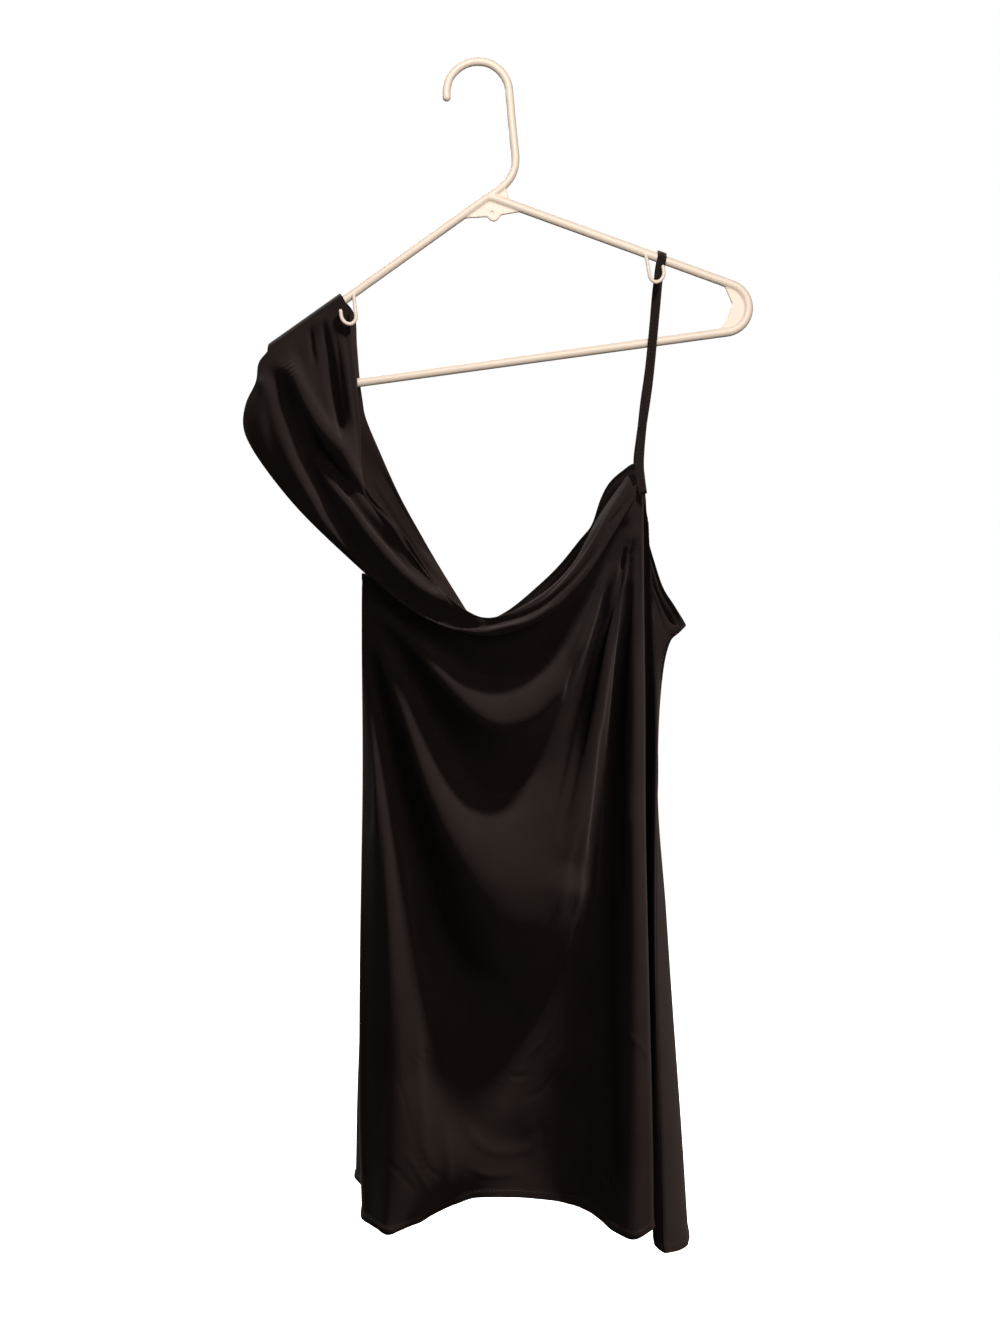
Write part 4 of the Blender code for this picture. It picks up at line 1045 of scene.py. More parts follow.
def stitch_tree():
    """Geometry Nodes that lay short stitches along a line of edges."""
    if "Stitch row" in bpy.data.node_groups:
        return bpy.data.node_groups["Stitch row"]
    tree = new_group("Stitch row", "GeometryNodeTree", [
        ("Geometry", "NodeSocketGeometry", None),
        ("Stitch Length", "NodeSocketFloat", 0.0024),
        ("Stitch Gap", "NodeSocketFloat", 0.0009),
        ("Thread Radius", "NodeSocketFloat", 0.0002),
        ("Seed", "NodeSocketInt", 3),
        ("Material", "NodeSocketMaterial", None),
    ], [("Geometry", "NodeSocketGeometry")])
    w = Wiring(tree)
    given = w.add("NodeGroupInput").outputs
    curve = w.add("GeometryNodeMeshToCurve", i0=given["Geometry"])
    pitch = w.math("ADD", given["Stitch Length"], given["Stitch Gap"])
    even = w.add("GeometryNodeResampleCurve", {"mode": "LENGTH"}, Curve=curve.outputs[0], Length=pitch)
    tangent = w.add("GeometryNodeInputTangent")
    turn = w.add("FunctionNodeAlignRotationToVector", {"axis": "Z"}, Vector=tangent.outputs[0])
    blob = w.add("GeometryNodeMeshUVSphere", Segments=8, Rings=5, Radius=given["Thread Radius"])
    half = w.math("MULTIPLY", given["Stitch Length"], 0.5)
    stretch = w.math("DIVIDE", half, given["Thread Radius"])
    size = w.add("ShaderNodeCombineXYZ", X=1.0, Y=1.0, Z=stretch)
    stitch = w.add("GeometryNodeTransform", Geometry=blob.outputs[0], Scale=size.outputs[0])
    vary = w.add("FunctionNodeRandomValue", {"data_type": "FLOAT"}, i2=0.88, i3=1.08, Seed=given["Seed"])
    rows = w.add("GeometryNodeInstanceOnPoints", Points=even.outputs[0], Instance=stitch.outputs[0],
                 Rotation=turn.outputs[0], Scale=vary.outputs[1])
    real = w.add("GeometryNodeRealizeInstances", i0=rows.outputs[0])
    soft = w.add("GeometryNodeSetShadeSmooth", i0=real.outputs[0])
    painted = w.add("GeometryNodeSetMaterial", Geometry=soft.outputs[0], Material=given["Material"])
    w.add("NodeGroupOutput", i0=painted.outputs[0])
    return tree


def lines_object(name, lines, closed=False):
    """A mesh of plain edges along lines of points in millimetres."""
    points, edges = [], []
    for line in lines:
        start = len(points)
        points += (np.asarray(line, float) * MM).tolist()
        edges += [(k, k + 1) for k in range(start, len(points) - 1)]
        if closed:
            edges.append((len(points) - 1, start))
    mesh = bpy.data.meshes.new(name)
    mesh.from_pydata(points, edges, [])
    return placed(name, mesh)


def settle(obj):
    """Turns what an object's modifiers give into its own plain mesh."""
    shown = obj.evaluated_get(bpy.context.evaluated_depsgraph_get())
    mesh = bpy.data.meshes.new_from_object(shown)
    obj.modifiers.clear()
    old = obj.data
    obj.data = mesh
    bpy.data.meshes.remove(old)
    mesh.name = obj.name
    return obj


def grow(obj, tree, values):
    """Runs a Geometry Nodes tree on an object with the given inputs and keeps its mesh."""
    step = obj.modifiers.new(tree.name, "NODES")
    step.node_group = tree
    for name, value in values.items():
        step[socket_key(tree, name)] = value
    return settle(obj)


def knit_group():
    """Face of a fine jersey: columns of small V-shaped loops; its Depth output darkens the hollows as painted
    shade.
    """
    if "Jersey face" in bpy.data.node_groups:
        return bpy.data.node_groups["Jersey face"]
    tree = new_group("Jersey face", "ShaderNodeTree", [
        ("Place", "NodeSocketVector", None),
        ("Wale", "NodeSocketFloat", 0.0008),
        ("Course", "NodeSocketFloat", 0.0006),
    ], [("Height", "NodeSocketFloat"), ("Depth", "NodeSocketFloat")])
    w = Wiring(tree)
    given = w.add("NodeGroupInput").outputs
    place = w.add("ShaderNodeSeparateXYZ", i0=given["Place"]).outputs
    u = w.math("DIVIDE", place[0], given["Wale"])
    v = w.math("DIVIDE", place[1], given["Course"])
    across = w.math("FRACT", u)
    leg = w.math("SINE", w.math("MULTIPLY", w.math("FRACT", w.math("MULTIPLY", u, 2.0)), math.pi))
    lean = w.math("ABSOLUTE", w.math("SUBTRACT", across, 0.5))
    loop = w.math("SINE", w.math("MULTIPLY", w.math("ADD", v, lean), 2 * math.pi))
    height = w.math("MULTIPLY", leg, w.math("MULTIPLY_ADD", loop, 0.35, 0.65))
    depth = w.math("SUBTRACT", 1.0, height)
    w.add("NodeGroupOutput", i0=height, i1=depth)
    return tree


def mottle_group():
    """Slow cloudy variation over a piece."""
    if "Mottle" in bpy.data.node_groups:
        return bpy.data.node_groups["Mottle"]
    tree = new_group("Mottle", "ShaderNodeTree", [
        ("Place", "NodeSocketVector", None),
        ("Scale", "NodeSocketFloat", 20.0),
        ("Contrast", "NodeSocketFloat", 1.0),
    ], [("Factor", "NodeSocketFloat")])
    w = Wiring(tree)
    given = w.add("NodeGroupInput").outputs
    noise = w.add("ShaderNodeTexNoise", Vector=given["Place"], Scale=given["Scale"], Detail=5.0,
                  Roughness=0.55)
    spread = w.math("MULTIPLY", w.math("SUBTRACT", noise.outputs[0], 0.5), given["Contrast"])
    factor = w.add("ShaderNodeClamp", i0=w.math("ADD", spread, 0.5)).outputs[0]
    w.add("NodeGroupOutput", i0=factor)
    return tree


def specks_group():
    """Sparse tiny specks: lint on cloth, dust and nicks on plastic."""
    if "Specks" in bpy.data.node_groups:
        return bpy.data.node_groups["Specks"]
    tree = new_group("Specks", "ShaderNodeTree", [
        ("Place", "NodeSocketVector", None),
        ("Scale", "NodeSocketFloat", 400.0),
        ("Size", "NodeSocketFloat", 0.12),
        ("Amount", "NodeSocketFloat", 0.04),
    ], [("Mask", "NodeSocketFloat")])
    w = Wiring(tree)
    given = w.add("NodeGroupInput").outputs
    cells = w.add("ShaderNodeTexVoronoi", Vector=given["Place"], Scale=given["Scale"])
    dot = w.math("LESS_THAN", cells.outputs["Distance"], given["Size"])
    pick = w.add("ShaderNodeSeparateColor", i0=cells.outputs["Color"])
    chosen = w.math("LESS_THAN", pick.outputs[0], given["Amount"])
    w.add("NodeGroupOutput", i0=w.math("MULTIPLY", dot, chosen))
    return tree


def new_material(name, constants):
    """A material with one Principled shader, its constants set on the shader's own sockets."""
    material = bpy.data.materials.new(name)
    material.use_nodes = True
    shader = material.node_tree.nodes["Principled BSDF"]
    for key, value in constants.items():
        shader.inputs[key].default_value = value
    return material, shader, Wiring(material.node_tree)


def use_group(w, tree, **inputs):
    """Places a shared group in a material and gives its outputs."""
    return w.add("ShaderNodeGroup", {"node_tree": tree}, **inputs).outputs


def mix_colour(w, factor, one, two):
    """A colour between two."""
    node = w.add("ShaderNodeMix", {"data_type": "RGBA"}, i0=factor, i6=one, i7=two)
    return node.outputs[2]


def jersey(name, painted_tone, look):
    """Near-black slinky jersey: fine knit with painted shade in its hollows, painted light and shade by
    piece, soft sheen, faint cloudiness and a little lint.
    """
    material, shader, w = new_material(name, {
        "Sheen Weight": look.sheen,
        "Sheen Roughness": 0.42,
        "Sheen Tint": (1.0, 0.86, 0.76, 1.0),
        "Specular IOR Level": 0.07,
        "Diffuse Roughness": 1.0,
    })
    place = w.add("ShaderNodeTexCoord").outputs
    knit = use_group(w, knit_group(), Place=place["UV"], Wale=look.wale, Course=look.course)
    cloud = use_group(w, mottle_group(), Place=place["Object"], Scale=22.0, Contrast=1.6)[0]
    lint = use_group(w, specks_group(), Place=place["Object"], Scale=330.0, Size=0.13, Amount=0.02)[0]
    # The piece's tone factor is painted light and shade: its colour made lighter or darker by where the piece
    # sits on the dress
    deep = [c * painted_tone * CLOTH_DEEP for c in look.colour] + [1.0]
    lit = [c * painted_tone * CLOTH_LIT for c in look.colour] + [1.0]
    cloth = mix_colour(w, cloud, deep, lit)
    # Painted shade: the colour is darkened towards the deep tone where the knit is deep, in the hollows
    # between its loops
    dark = mix_colour(w, w.math("MULTIPLY", knit["Depth"], KNIT_SHADE), cloth, deep)
    final = mix_colour(w, w.math("MULTIPLY", lint, LINT_SHARE), dark, LINT)
    w.tree.links.new(final, shader.inputs["Base Color"])
    rough = w.math("MULTIPLY_ADD", cloud, 0.08, look.roughness)
    w.tree.links.new(rough, shader.inputs["Roughness"])
    relief_node = w.add("ShaderNodeBump", Strength=0.35, Distance=0.00012, Height=knit["Height"])
    w.tree.links.new(relief_node.outputs[0], shader.inputs["Normal"])
    return material


def thread(name, look):
    """Dark sewing thread, a touch shinier than the cloth."""
    material, shader, w = new_material(name, {"Specular IOR Level": 0.35})
    place = w.add("ShaderNodeTexCoord").outputs
    cloud = use_group(w, mottle_group(), Place=place["Object"], Scale=900.0, Contrast=2.0)[0]
    base = [c * THREAD_DEEP for c in look.colour] + [1.0]
    lit = [c * THREAD_LIT for c in look.colour] + [1.0]
    w.tree.links.new(mix_colour(w, cloud, base, lit), shader.inputs["Base Color"])
    w.tree.links.new(w.math("MULTIPLY_ADD", cloud, 0.15, 0.4), shader.inputs["Roughness"])
    return material


def plastic(name, look):
    """Pale moulded plastic: parting line, fine grain, faint dirt and a few nicks."""
    material, shader, w = new_material(name, {
        "Specular IOR Level": 0.5,
        "Subsurface Weight": 0.12,
        "Subsurface Radius": (0.004, 0.0026, 0.0018),
    })
    place = w.add("ShaderNodeTexCoord").outputs
    cloud = use_group(w, mottle_group(), Place=place["Object"], Scale=14.0, Contrast=1.4)[0]
    nicks = use_group(w, specks_group(), Place=place["Object"], Scale=260.0, Size=0.16, Amount=0.012)[0]
    warm = [c * PLASTIC_WARM for c in look.colour] + [1.0]
    clean = list(look.colour) + [1.0]
    tinted = mix_colour(w, cloud, warm, clean)
    final = mix_colour(w, w.math("MULTIPLY", nicks, DIRT_SHARE), tinted, DIRT)
    w.tree.links.new(final, shader.inputs["Base Color"])
    w.tree.links.new(w.math("MULTIPLY_ADD", cloud, 0.12, look.roughness), shader.inputs["Roughness"])
    y = w.add("ShaderNodeSeparateXYZ", i0=place["Object"]).outputs[1]
    away = w.math("DIVIDE", w.math("ABSOLUTE", y), look.parting_line)
    line = w.math("MAXIMUM", w.math("SUBTRACT", 1.0, away), 0.0)
    grain = w.add("ShaderNodeTexNoise", Vector=place["Object"], Scale=1800.0, Detail=3.0)
    height = w.math("MULTIPLY_ADD", grain.outputs[0], GRAIN_SHARE, line)
    relief_node = w.add("ShaderNodeBump", Strength=0.3, Distance=0.00012, Height=height)
    w.tree.links.new(relief_node.outputs[0], shader.inputs["Normal"])
    return material


def strap_line():
    """Inner face of the strap: up the front, round the arm, down the back."""
    x, z = STRAP_ON_ARM
    reach = TUBE + GAP
    lean = reach / math.cos(math.radians(ARM_SLOPE - HANGER_TILT))
    up_count, arc_count, down_count = STRAP_POINTS
    turn = np.radians(np.linspace(-90, 90, arc_count))
    arc = [(x, reach * math.sin(a), z + lean * math.cos(a)) for a in turn]
    up = spline(STRAP_FRONT + arc[:1], up_count)
    down = spline(arc[-1:] + STRAP_BACK, down_count)
    return np.vstack([up[:-1], arc, down[1:]])


def strap_frame(line):
    """Directions along the strap, across it and out of its face."""
    along = unit(np.gradient(line, axis=0))
    slope = math.radians(ARM_SLOPE - HANGER_TILT)
    near_arm = np.clip((line[:, 2:] - STRAP_TURN_LOW) / STRAP_TURN, 0, 1)
    lying = np.array([math.cos(slope), 0, -math.sin(slope)])
    side = unit(near_arm * lying + (1 - near_arm) * np.array(STRAP_HANGING))
    side = unit(side - along * (along * side).sum(axis=1)[:, None])
    return along, side, unit(np.cross(side, along))


def strap_section(half, thick):
    """Outline of the folded strap: rounded edges, and a shallow dip along each stitch line."""
    corner = thick / 2
    left = [(-half + corner - corner * math.sin(a), corner - corner * math.cos(a))
            for a in np.linspace(0, math.pi, 7)]
    right = [(-x, thick - t) for x, t in left]
    flat = np.linspace(-half + corner, half - corner, 15)[1:-1]
    dip = half - STRAP_STITCH_INSET
    sunk = STRAP_DIP * np.exp(-((np.abs(flat) - dip) / STRAP_DIP_WIDTH) ** 2)
    face = [(x, thick - s) for x, s in zip(flat, sunk)]
    back = [(x, 0.0) for x in flat[::-1]]
    return np.array(left + face + right + back)


def frame_path():
    """Centreline of arms, end bends and bar, round the whole frame."""
    slope = math.radians(ARM_SLOPE)
    apex_x, apex_z = APEX
    centre = HALF_WIDTH - BEND, apex_z - BAR_DROP + BEND
    turn = np.linspace(math.pi / 2 - slope, -math.pi / 2, BEND_POINTS)
    right = [(centre[0] + BEND * math.cos(a), centre[1] + BEND * math.sin(a)) for a in turn]
    drop = apex_z - APEX_ROUND / math.cos(slope)
    lean = np.linspace(-slope, slope, APEX_POINTS)
    top = [(APEX_ROUND * math.sin(a), drop + APEX_ROUND * math.cos(a)) for a in lean]
    path = top + right + [(-x, z) for x, z in right[::-1]]
    return np.array([(apex_x + x, 0, z) for x, z in path])


def plate(name, outline, half):
    """A flat plate between -half and half in depth."""
    body = bmesh.new()
    face = body.faces.new([body.verts.new((x * MM, -half * MM, z * MM)) for x, z in outline])
    made = bmesh.ops.extrude_face_region(body, geom=[face])
    back = [v for v in made["geom"] if isinstance(v, bmesh.types.BMVert)]
    bmesh.ops.translate(body, vec=(0, 2 * half * MM, 0), verts=back)
    bmesh.ops.recalc_face_normals(body, faces=body.faces)
    return placed_body(name, body)


def ball(name, place, radius):
    """A round tip, at a point in millimetres."""
    body = bmesh.new()
    spot = Matrix.Translation([float(c) * MM for c in place])
    bmesh.ops.create_uvsphere(body, u_segments=24, v_segments=16, radius=radius, matrix=spot)
    return placed_body(name, body)


def pale_floor(floor):
    """A plain floor all round below the dress."""
    points = [(x, y, -floor) for y in (-FLOOR_REACH, FLOOR_REACH) for x in (-FLOOR_REACH, FLOOR_REACH)]
    mesh = bpy.data.meshes.new("pale_floor")
    mesh.from_pydata(points, [], [(0, 1, 3, 2)])
    obj = placed("pale_floor", mesh)
    material, _, _ = new_material("pale_card", {
        "Base Color": (0.93, 0.93, 0.925, 1.0), "Roughness": 0.9, "Specular IOR Level": 0.1,
        "Emission Color": (1.0, 0.99, 0.98, 1.0), "Emission Strength": 0.8,
    })
    mesh.materials.append(material)
    # The floor is seen but throws no light back, so the undersides of the folds stay dark
    obj.visible_diffuse = False
    obj.visible_glossy = False
    return obj


def area_light(name, power, receivers=None):
    """A square soft lamp; with receivers, it lights only those objects."""
    place, aim, width = LAMPS[name]
    data = bpy.data.lights.new(name, "AREA")
    data.size = width
    data.energy = power
    lamp = placed(name, data)
    lamp.location = place
    towards = np.array(aim) - np.array(place)
    flat = math.hypot(towards[0], towards[1])
    lamp.rotation_euler = (math.atan2(flat, -towards[2]), 0, math.atan2(-towards[0], towards[1]))
    if receivers:
        lit = bpy.data.collections.new(name + "_receivers")
        for receiver in receivers:
            lit.objects.link(receiver)
        lamp.light_linking.receiver_collection = lit


def pale_room(strength):
    """Surroundings that the camera sees as white, and that light the dress only faintly."""
    world = bpy.data.worlds.new("pale_room")
    world.use_nodes = True
    nodes, links = world.node_tree.nodes, world.node_tree.links
    light = nodes["Background"]
    light.inputs["Color"].default_value = (1.0, 0.99, 0.98, 1.0)
    light.inputs["Strength"].default_value = strength
    seen = nodes.new("ShaderNodeBackground")
    seen.inputs["Color"].default_value = (1.0, 1.0, 1.0, 1.0)
    pick = nodes.new("ShaderNodeMixShader")
    links.new(nodes.new("ShaderNodeLightPath").outputs["Is Camera Ray"], pick.inputs[0])
    links.new(light.outputs[0], pick.inputs[1])
    links.new(seen.outputs[0], pick.inputs[2])
    links.new(pick.outputs[0], nodes["World Output"].inputs[0])
    return world


def level_camera(distance):
    """A level camera straight in front of the dress."""
    data = bpy.data.cameras.new("camera")
    data.lens = LENS
    data.sensor_fit = "VERTICAL"
    data.sensor_height = SENSOR
    camera = placed("camera", data)
    camera.location = (AIM_X * MM, -distance, AIM_Z * MM)
    camera.rotation_euler = (math.pi / 2, 0, 0)
    return camera


def length_prop(name, description, default):
    """A length property, given in millimetres and kept in metres."""
    return bpy.props.FloatProperty(name=name, description=description, default=default * MM, min=0.0,
                                   unit="LENGTH", precision=5)


def power_prop(name, description, default):
    """A lamp's power, in watts."""
    return bpy.props.FloatProperty(name=name, description=description, default=default, min=0.0, unit="POWER")


def share_prop(name, description, default, high=1.0):
    """A share from nothing to all of something."""
    return bpy.props.FloatProperty(name=name, description=description, default=default, min=0.0, max=high,
                                   subtype="FACTOR")


def colour_prop(name, description, default):
    """A base colour."""
    return bpy.props.FloatVectorProperty(name=name, description=description, default=default, size=3,
                                         min=0.0, max=1.0, subtype="COLOR")


class DressCloth(bpy.types.PropertyGroup):
    """Sizes of the cloth."""
    wall: length_prop("Thickness", "Thickness of the jersey", 1.1)
    band: length_prop("Turned band", "Width of the turned hem and armhole edges", 6.0)
    band_raise: length_prop("Band raise", "How far a turned edge stands out", 0.7)
    stitch_line: length_prop("Stitch line", "Distance of the stitches from the edge", STITCH_LINE)
    crease_strength: share_prop("Creases", "Strength of the small creases", 1.0, high=2.0)


class DressLook(bpy.types.PropertyGroup):
    """Finish of the cloth."""
    colour: colour_prop("Colour", "Base colour of the jersey", (0.0325, 0.0208, 0.0170))
    roughness: share_prop("Roughness", "Roughness of the cloth face", 0.82)
    sheen: share_prop("Sheen", "Soft light on turned-away cloth", 0.04)
    wale: length_prop("Wale", "Width of one knit column", 0.8)
    course: length_prop("Course", "Height of one knit row", 0.62)


class DressStitches(bpy.types.PropertyGroup):
    """Sizes of the sewing."""
    stitch: length_prop("Stitch", "Length of one stitch", 2.3)
    gap: length_prop("Gap", "Gap between two stitches", 0.8)
    radius: length_prop("Thread", "Radius of the thread", 0.2)
    seed: bpy.props.IntProperty(name="Seed", description="Seed of the slight unevenness", default=3, min=0)


class DressHanger(bpy.types.PropertyGroup):
    """Sizes and finish of the hanger."""
    tube: length_prop("Tube radius", "Radius of arms and bar", TUBE)
    hook_tube: length_prop("Hook radius", "Radius of the hook", HOOK_TUBE)
    wire: length_prop("Strap hook radius", "Radius of the strap hooks", STRAP_HOOK_WIRE)
    grain: length_prop("Fineness", "Cell size of the moulded surface", 0.62)
    parting_line: length_prop("Parting line", "Half width of the mould's parting line", 0.28)
    colour: colour_prop("Colour", "Colour of the plastic", (0.86, 0.70, 0.56))
    roughness: share_prop("Roughness", "Roughness of the plastic", 0.36)


class DressStage(bpy.types.PropertyGroup):
    """Floor, lights and camera."""
    floor: length_prop("Floor drop", "Height of the hook above the floor", 1120.0)
    key: power_prop("Key light", "Power of the high lamp in front", 84.0)
    fill: power_prop("Fill light", "Power of the wide lamp in front", 7.2)
    back: power_prop("Back light", "Power of the lamp behind", 95.0)
    hanger_light: power_prop("Hanger light", "Power of each lamp that reaches the hanger only", 18.0)
    inner_light: power_prop("Inner light", "Power of the lamp on the back half of the drape", 18.0)
    world: bpy.props.FloatProperty(name="Room light", description="Strength of the light all round",
                                   default=0.05, min=0.0)
    eye_distance: length_prop("Eye distance", "Distance of the camera in front of the hanger", EYE_DISTANCE)


def dress(obj, node, **sheet):
    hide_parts(node)
    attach(obj, BODY)
    return obj


def sew(context, name, lines, slot):
    """Rows of stitches along lines of points that lie on the cloth."""
    sizes = context.scene.dress_stitches
    values = {
        "Stitch Length": sizes.stitch,
        "Stitch Gap": sizes.gap,
        "Thread Radius": sizes.radius,
        "Seed": sizes.seed,
        "Material": thread(name + "_thread", context.scene.dress_look),
    }
    obj = grow(lines_object(name, lines), stitch_tree(), values)
    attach(obj, BODY)
    return obj


# Outer faces of the finished cloth, which the sewing lies on
BUILT = {}


class DRESS_OT_body(bpy.types.Operator):
    """Makes the front and the back panel with their creases, turned hems and side seams"""
    bl_idname = "dress.body"
    bl_label = "Front and back panel"

    def execute(self, context):
        cloth, look = context.scene.dress_cloth, context.scene.dress_look
        columns, panels = body_ring()
        normal = grid_normals(columns, ring=True)
        face = columns + normal * body_heights(columns, panels, cloth)[..., None]
        count, start = len(panels), panels.index("back")
        along = unit(np.roll(face, -1, axis=0) - np.roll(face, 1, axis=0))
        inset = GAP / 2 + cloth.wall / MM / 2
        for name, first, last in (("front_panel", 0, start), ("back_panel", start, count)):
            picks = np.arange(first, last + 1) % count
            if len(picks) % 2 == 0:
                raise RuntimeError(name + ": the number of columns has to be odd")
            grid = face[picks].copy()
            grid[0] += along[picks[0]] * inset
            grid[-1] -= along[picks[-1]] * inset
            piece = shell("dress_" + name, grid, cloth.wall / MM)
            piece.data.materials.append(jersey(name + "_jersey", PAINTED_LIGHT_TONES[name], look))
            dress(piece, name, **SHEETS[name])
            BUILT[name] = grid
        return {"FINISHED"}


class DRESS_OT_drapes(bpy.types.Operator):
    """Makes the shoulder drape with its cowl roll, front and back half"""
    bl_idname = "dress.drapes"
    bl_label = "Shoulder drape"

    def execute(self, context):
        cloth, look = context.scene.dress_cloth, context.scene.dress_look
        halves = (
            ("front_drape", FRONT_DRAPE_EDGES, DRAPE_FOLDS, SLEEVE_CREASES,
             FINE_DRAPE_ROWS, FINE_DRAPE_COLUMNS, 1),
            ("back_drape", BACK_DRAPE_EDGES, BACK_DRAPE_FOLDS, BACK_SLEEVE_CREASES,
             FINE_BACK_DRAPE_ROWS, FINE_BACK_DRAPE_COLUMNS, -1),
        )
        for name, edges, folds, table, rows, count, side in halves:
            grid = drape_grid(edges, folds, rows, count)
            normal = grid_normals(grid)
            normal *= np.where(normal[..., 1:2] * side > 0, -1, 1)
            x, z = grid[..., 0], grid[..., 2]
            height = creases(x, z, table) * cloth.crease_strength
            across = np.linspace(0, 1, count)[None]
            width = np.linalg.norm(grid[:, -1] - grid[:, 0], axis=1)[:, None]
            from_edge = np.minimum(across, 1 - across) * width
            start, ramp = DRAPE_TOP_CALM
            down = smooth((run_of(grid[:, count // 2])[:, None] - start) / ramp)
            height = (height + DRAPE_UNEVEN * unevenness(x, z)) * smooth(from_edge / DRAPE_EDGE_CALM) * down
            grid = grid + normal * height[..., None]
            if side > 0:
                grid = grid[:, ::-1]
            piece = shell("dress_" + name, grid, cloth.wall / MM)
            piece.data.materials.append(jersey(name + "_jersey", PAINTED_LIGHT_TONES[name], look))
            dress(piece, name, **SHEETS[name])
            BUILT[name] = grid
        return {"FINISHED"}


class DRESS_OT_strap(bpy.types.Operator):
    """Makes the flat folded strap over the hanger's right arm"""
    bl_idname = "dress.strap"
    bl_label = "Strap"

    def execute(self, context):
        look = context.scene.dress_look
        line = strap_line()
        along, side, out = strap_frame(line)
        half, thick = STRAP_WIDTH / 2, STRAP_THICK
        section = strap_section(half, thick)
        points = line[:, None] + side[:, None] * section[None, :, :1] + out[:, None] * section[None, :, 1:]
        count = len(section)
        index = np.arange(len(line) * count).reshape(-1, count)
        after = np.roll(index, -1, axis=1)
        faces = np.stack([index[:-1], after[:-1], after[1:], index[1:]], -1).reshape(-1, 4).tolist()
        faces += [index[0, ::-1].tolist(), index[-1].tolist()]
        run = run_of(line)[:, None]
        round_it = run_of(section)[None]
        places = np.stack(np.broadcast_arrays(round_it, run), axis=-1).reshape(-1, 2) * MM
        piece = mesh_object("dress_strap", points.reshape(-1, 3), faces, places)
        piece.data.materials.append(jersey("strap_jersey", PAINTED_LIGHT_TONES["strap"], look))
        dress(piece, "strap", **SHEETS["strap"])
        edge = half - STRAP_STITCH_INSET
        rows = [line + side * shift + out * (thick + STRAP_STITCH_LIFT) for shift in (-edge, edge)]
        sew(context, "strap_stitches", rows, "strap")
        return {"FINISHED"}


class DRESS_OT_sewing(bpy.types.Operator):
    """Sews the hems, the neckline and the armhole edges"""
    bl_idname = "dress.sewing"
    bl_label = "Sewing"

    def execute(self, context):
        if "front_panel" not in BUILT:
            raise RuntimeError("the panels are made before the sewing")
        front, back = BUILT["front_panel"], BUILT["back_panel"]
        row = EDGE_STEPS.index(STITCH_LINE)
        whole = slice(SEAM_COLUMNS, -SEAM_COLUMNS)
        armhole = slice(columns_before("channel"), -SEAM_COLUMNS)
        rows = {
            "front_hem_stitches": ("front_panel", front, -1 - row, whole),
            "back_hem_stitches": ("back_panel", back, -1 - row, whole),
            "front_armhole_stitches": ("front_panel", front, row, armhole),
            "back_neck_stitches": ("back_panel", back, row, slice(SEAM_COLUMNS, -LEFT_TURN_COLUMNS)),
        }
        for name, (slot, grid, at, columns) in rows.items():
            normal = grid_normals(grid)
            line = (grid + normal * STITCH_LIFT)[columns, at]
            sew(context, name, [evenly(line, len(line) * 2)], slot)
        return {"FINISHED"}


class DRESS_OT_hanger(bpy.types.Operator):
    """Moulds the hanger in one piece: frame, hook, webs and strap hooks"""
    bl_idname = "dress.hanger"
    bl_label = "Hanger"

    def execute(self, context):
        sizes = context.scene.dress_hanger
        finish = plastic("moulded_plastic", sizes)
        parts = []

        def tube(name, path, radius, closed=False, end=None):
            line = lines_object(name, [path], closed)
            parts.append(grow(line, tube_tree(), {"Radius": radius, "Sides": TUBE_SIDES, "Material": finish}))
            if end is not None:
                parts.append(ball(name + "_tip", path[end], radius))

        tube("frame", frame_path(), sizes.tube, closed=True)
        tube("hook", spline([(x, 0, z) for x, z in HOOK_LINE], HOOK_POINTS), sizes.hook_tube, end=0)
        for side, sign in (("left", -1), ("right", 1)):
            parts.append(plate("end_web_" + side, [(APEX[0] + sign * x, z) for x, z in END_WEB], WEB_HALF))
            wire = [(x, STRAP_HOOK_DEPTH, z) for x, z in STRAP_HOOK]
            for k, (y, rise) in enumerate(STRAP_HOOK_ROOT):
                wire[k] = (wire[k][0], y, wire[k][2] + rise)
            path = spline(wire, STRAP_HOOK_POINTS) * (sign, 1, 1) + (APEX[0], 0, 0)
            tube("strap_hook_" + side, path, sizes.wire, end=-1)
        gusset = plate("gusset", GUSSET, WEB_HALF)
        x, z, radius = GUSSET_HOLE
        drill = grow(lines_object("drill", [[(x, -DRILL_REACH, z), (x, DRILL_REACH, z)]]), tube_tree(),
                     {"Radius": radius * MM, "Sides": DRILL_SIDES, "Material": finish})
        cut = gusset.modifiers.new("Hole", "BOOLEAN")
        cut.operation = "DIFFERENCE"
        cut.object = drill
        parts += [settle(gusset), plate("upper_web", UPPER_WEB, WEB_HALF)]
        bpy.data.objects.remove(drill)

        turn = Matrix.Rotation(-math.radians(HANGER_TILT), 4, "Y")
        body = bmesh.new()
        for part in parts:
            part.data.transform(turn)
            body.from_mesh(part.data)
            bpy.data.objects.remove(part)
        hanger = placed_body("moulded_hanger", body)
        fuse = hanger.modifiers.new("Fuse", "REMESH")
        fuse.mode = "VOXEL"
        fuse.voxel_size = sizes.grain
        fuse.use_smooth_shade = True
        soften = hanger.modifiers.new("Soften", "SMOOTH")
        soften.factor = 0.5
        soften.iterations = 6
        settle(hanger)
        hanger.data.materials.clear()
        hanger.data.materials.append(finish)
        hanger.data.polygons.foreach_set("material_index", [0] * len(hanger.data.polygons))
        dress(hanger, "hanger")
        return {"FINISHED"}


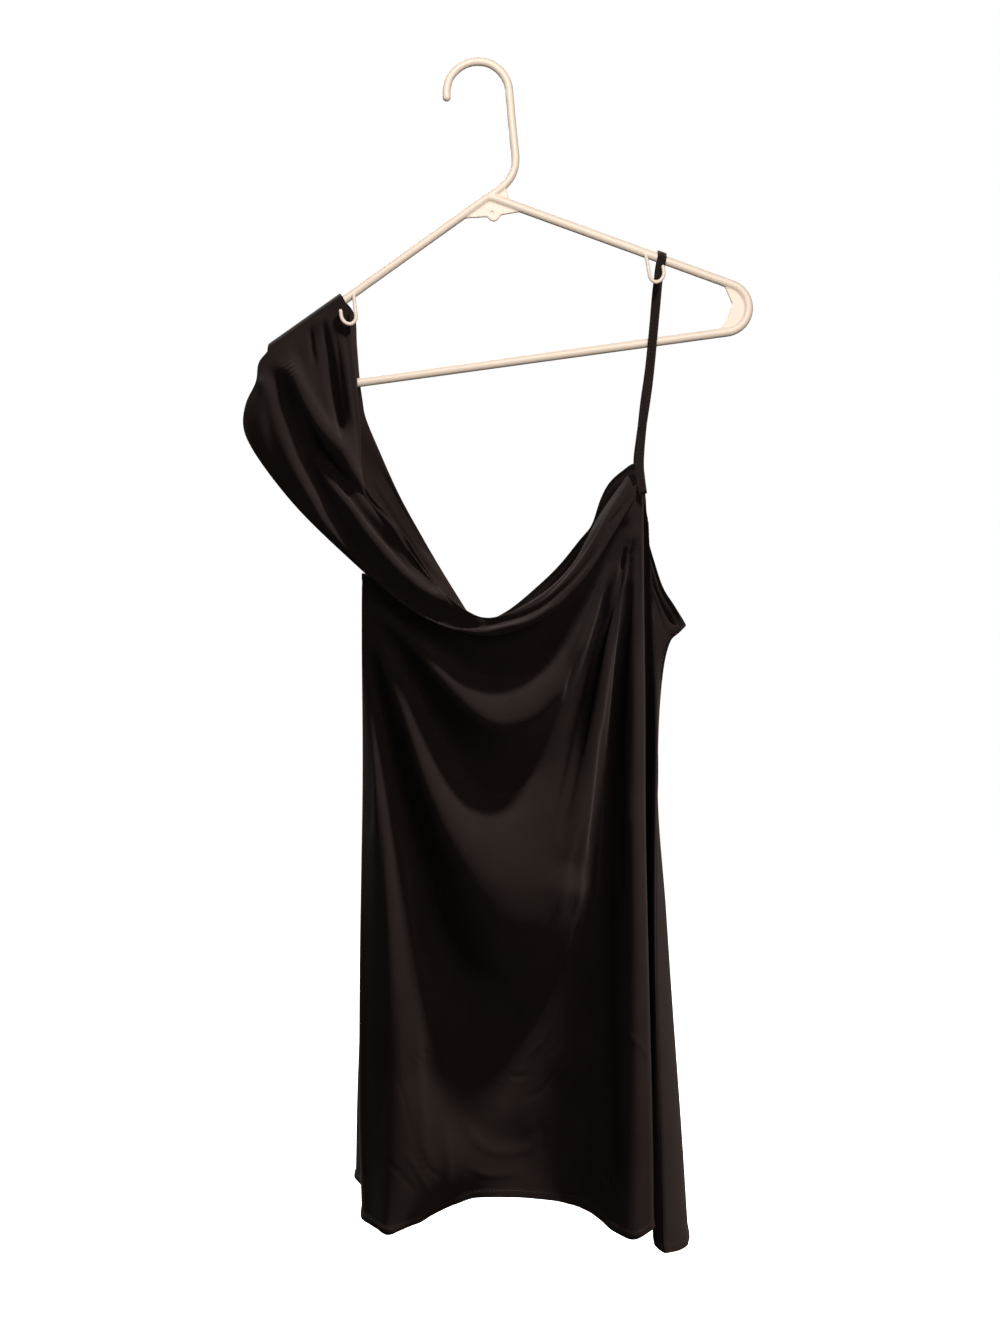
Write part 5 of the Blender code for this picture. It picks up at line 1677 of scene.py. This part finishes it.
class DRESS_OT_stage(bpy.types.Operator):
    """Sets up the pale floor, the studio lights and the camera"""
    bl_idname = "dress.stage"
    bl_label = "Stage"

    def execute(self, context):
        scene, sizes = context.scene, context.scene.dress_stage
        pale_floor(sizes.floor)
        # Near-black cloth asks for strong lamps, which would burn the pale hanger out
        pieces = [item for item in scene.objects if item.type == "MESH"]
        cloth = [item for item in pieces if item.name != "moulded_hanger"]
        hanger = [bpy.data.objects["moulded_hanger"]]
        inside = [bpy.data.objects["dress_back_drape"]]
        area_light("fill_light", sizes.fill)
        area_light("key_light", sizes.key, cloth)
        area_light("back_light", sizes.back, cloth)
        area_light("hanger_light", sizes.hanger_light, hanger)
        area_light("hanger_back_light", sizes.hanger_light, hanger)
        area_light("inner_light", sizes.inner_light, inside)
        scene.world = pale_room(sizes.world)
        scene.view_settings.view_transform = "Standard"
        scene.camera = level_camera(sizes.eye_distance)
        return {"FINISHED"}


class DRESS_PT_panel(bpy.types.Panel):
    """The dress's operators and sizes"""
    bl_idname = "DRESS_PT_panel"
    bl_label = "Draped mini dress"
    bl_space_type = "VIEW_3D"
    bl_region_type = "UI"
    bl_category = "Dress"

    def draw(self, context):
        layout, scene = self.layout, context.scene
        for operator in OPERATORS:
            layout.operator(operator.bl_idname)
        for group in GROUPS:
            box = layout.box()
            box.label(text=group.__doc__)
            values = getattr(scene, GROUPS[group])
            for name in group.__annotations__:
                box.prop(values, name)


OPERATORS = (DRESS_OT_body, DRESS_OT_drapes, DRESS_OT_strap, DRESS_OT_sewing, DRESS_OT_hanger, DRESS_OT_stage)
GROUPS = {
    DressCloth: "dress_cloth",
    DressLook: "dress_look",
    DressStitches: "dress_stitches",
    DressHanger: "dress_hanger",
    DressStage: "dress_stage",
}


def register():
    for group, name in GROUPS.items():
        bpy.utils.register_class(group)
        setattr(bpy.types.Scene, name, bpy.props.PointerProperty(type=group))
    for known in OPERATORS + (DRESS_PT_panel,):
        bpy.utils.register_class(known)


def unregister():
    for known in reversed(OPERATORS + (DRESS_PT_panel,)):
        bpy.utils.unregister_class(known)
    for group, name in GROUPS.items():
        delattr(bpy.types.Scene, name)
        bpy.utils.unregister_class(group)


def main():
    register()
    bpy.ops.dress.body()
    bpy.ops.dress.drapes()
    bpy.ops.dress.strap()
    bpy.ops.dress.sewing()
    bpy.ops.dress.hanger()
    bpy.ops.dress.stage()


if __name__ == "__main__":
    main()
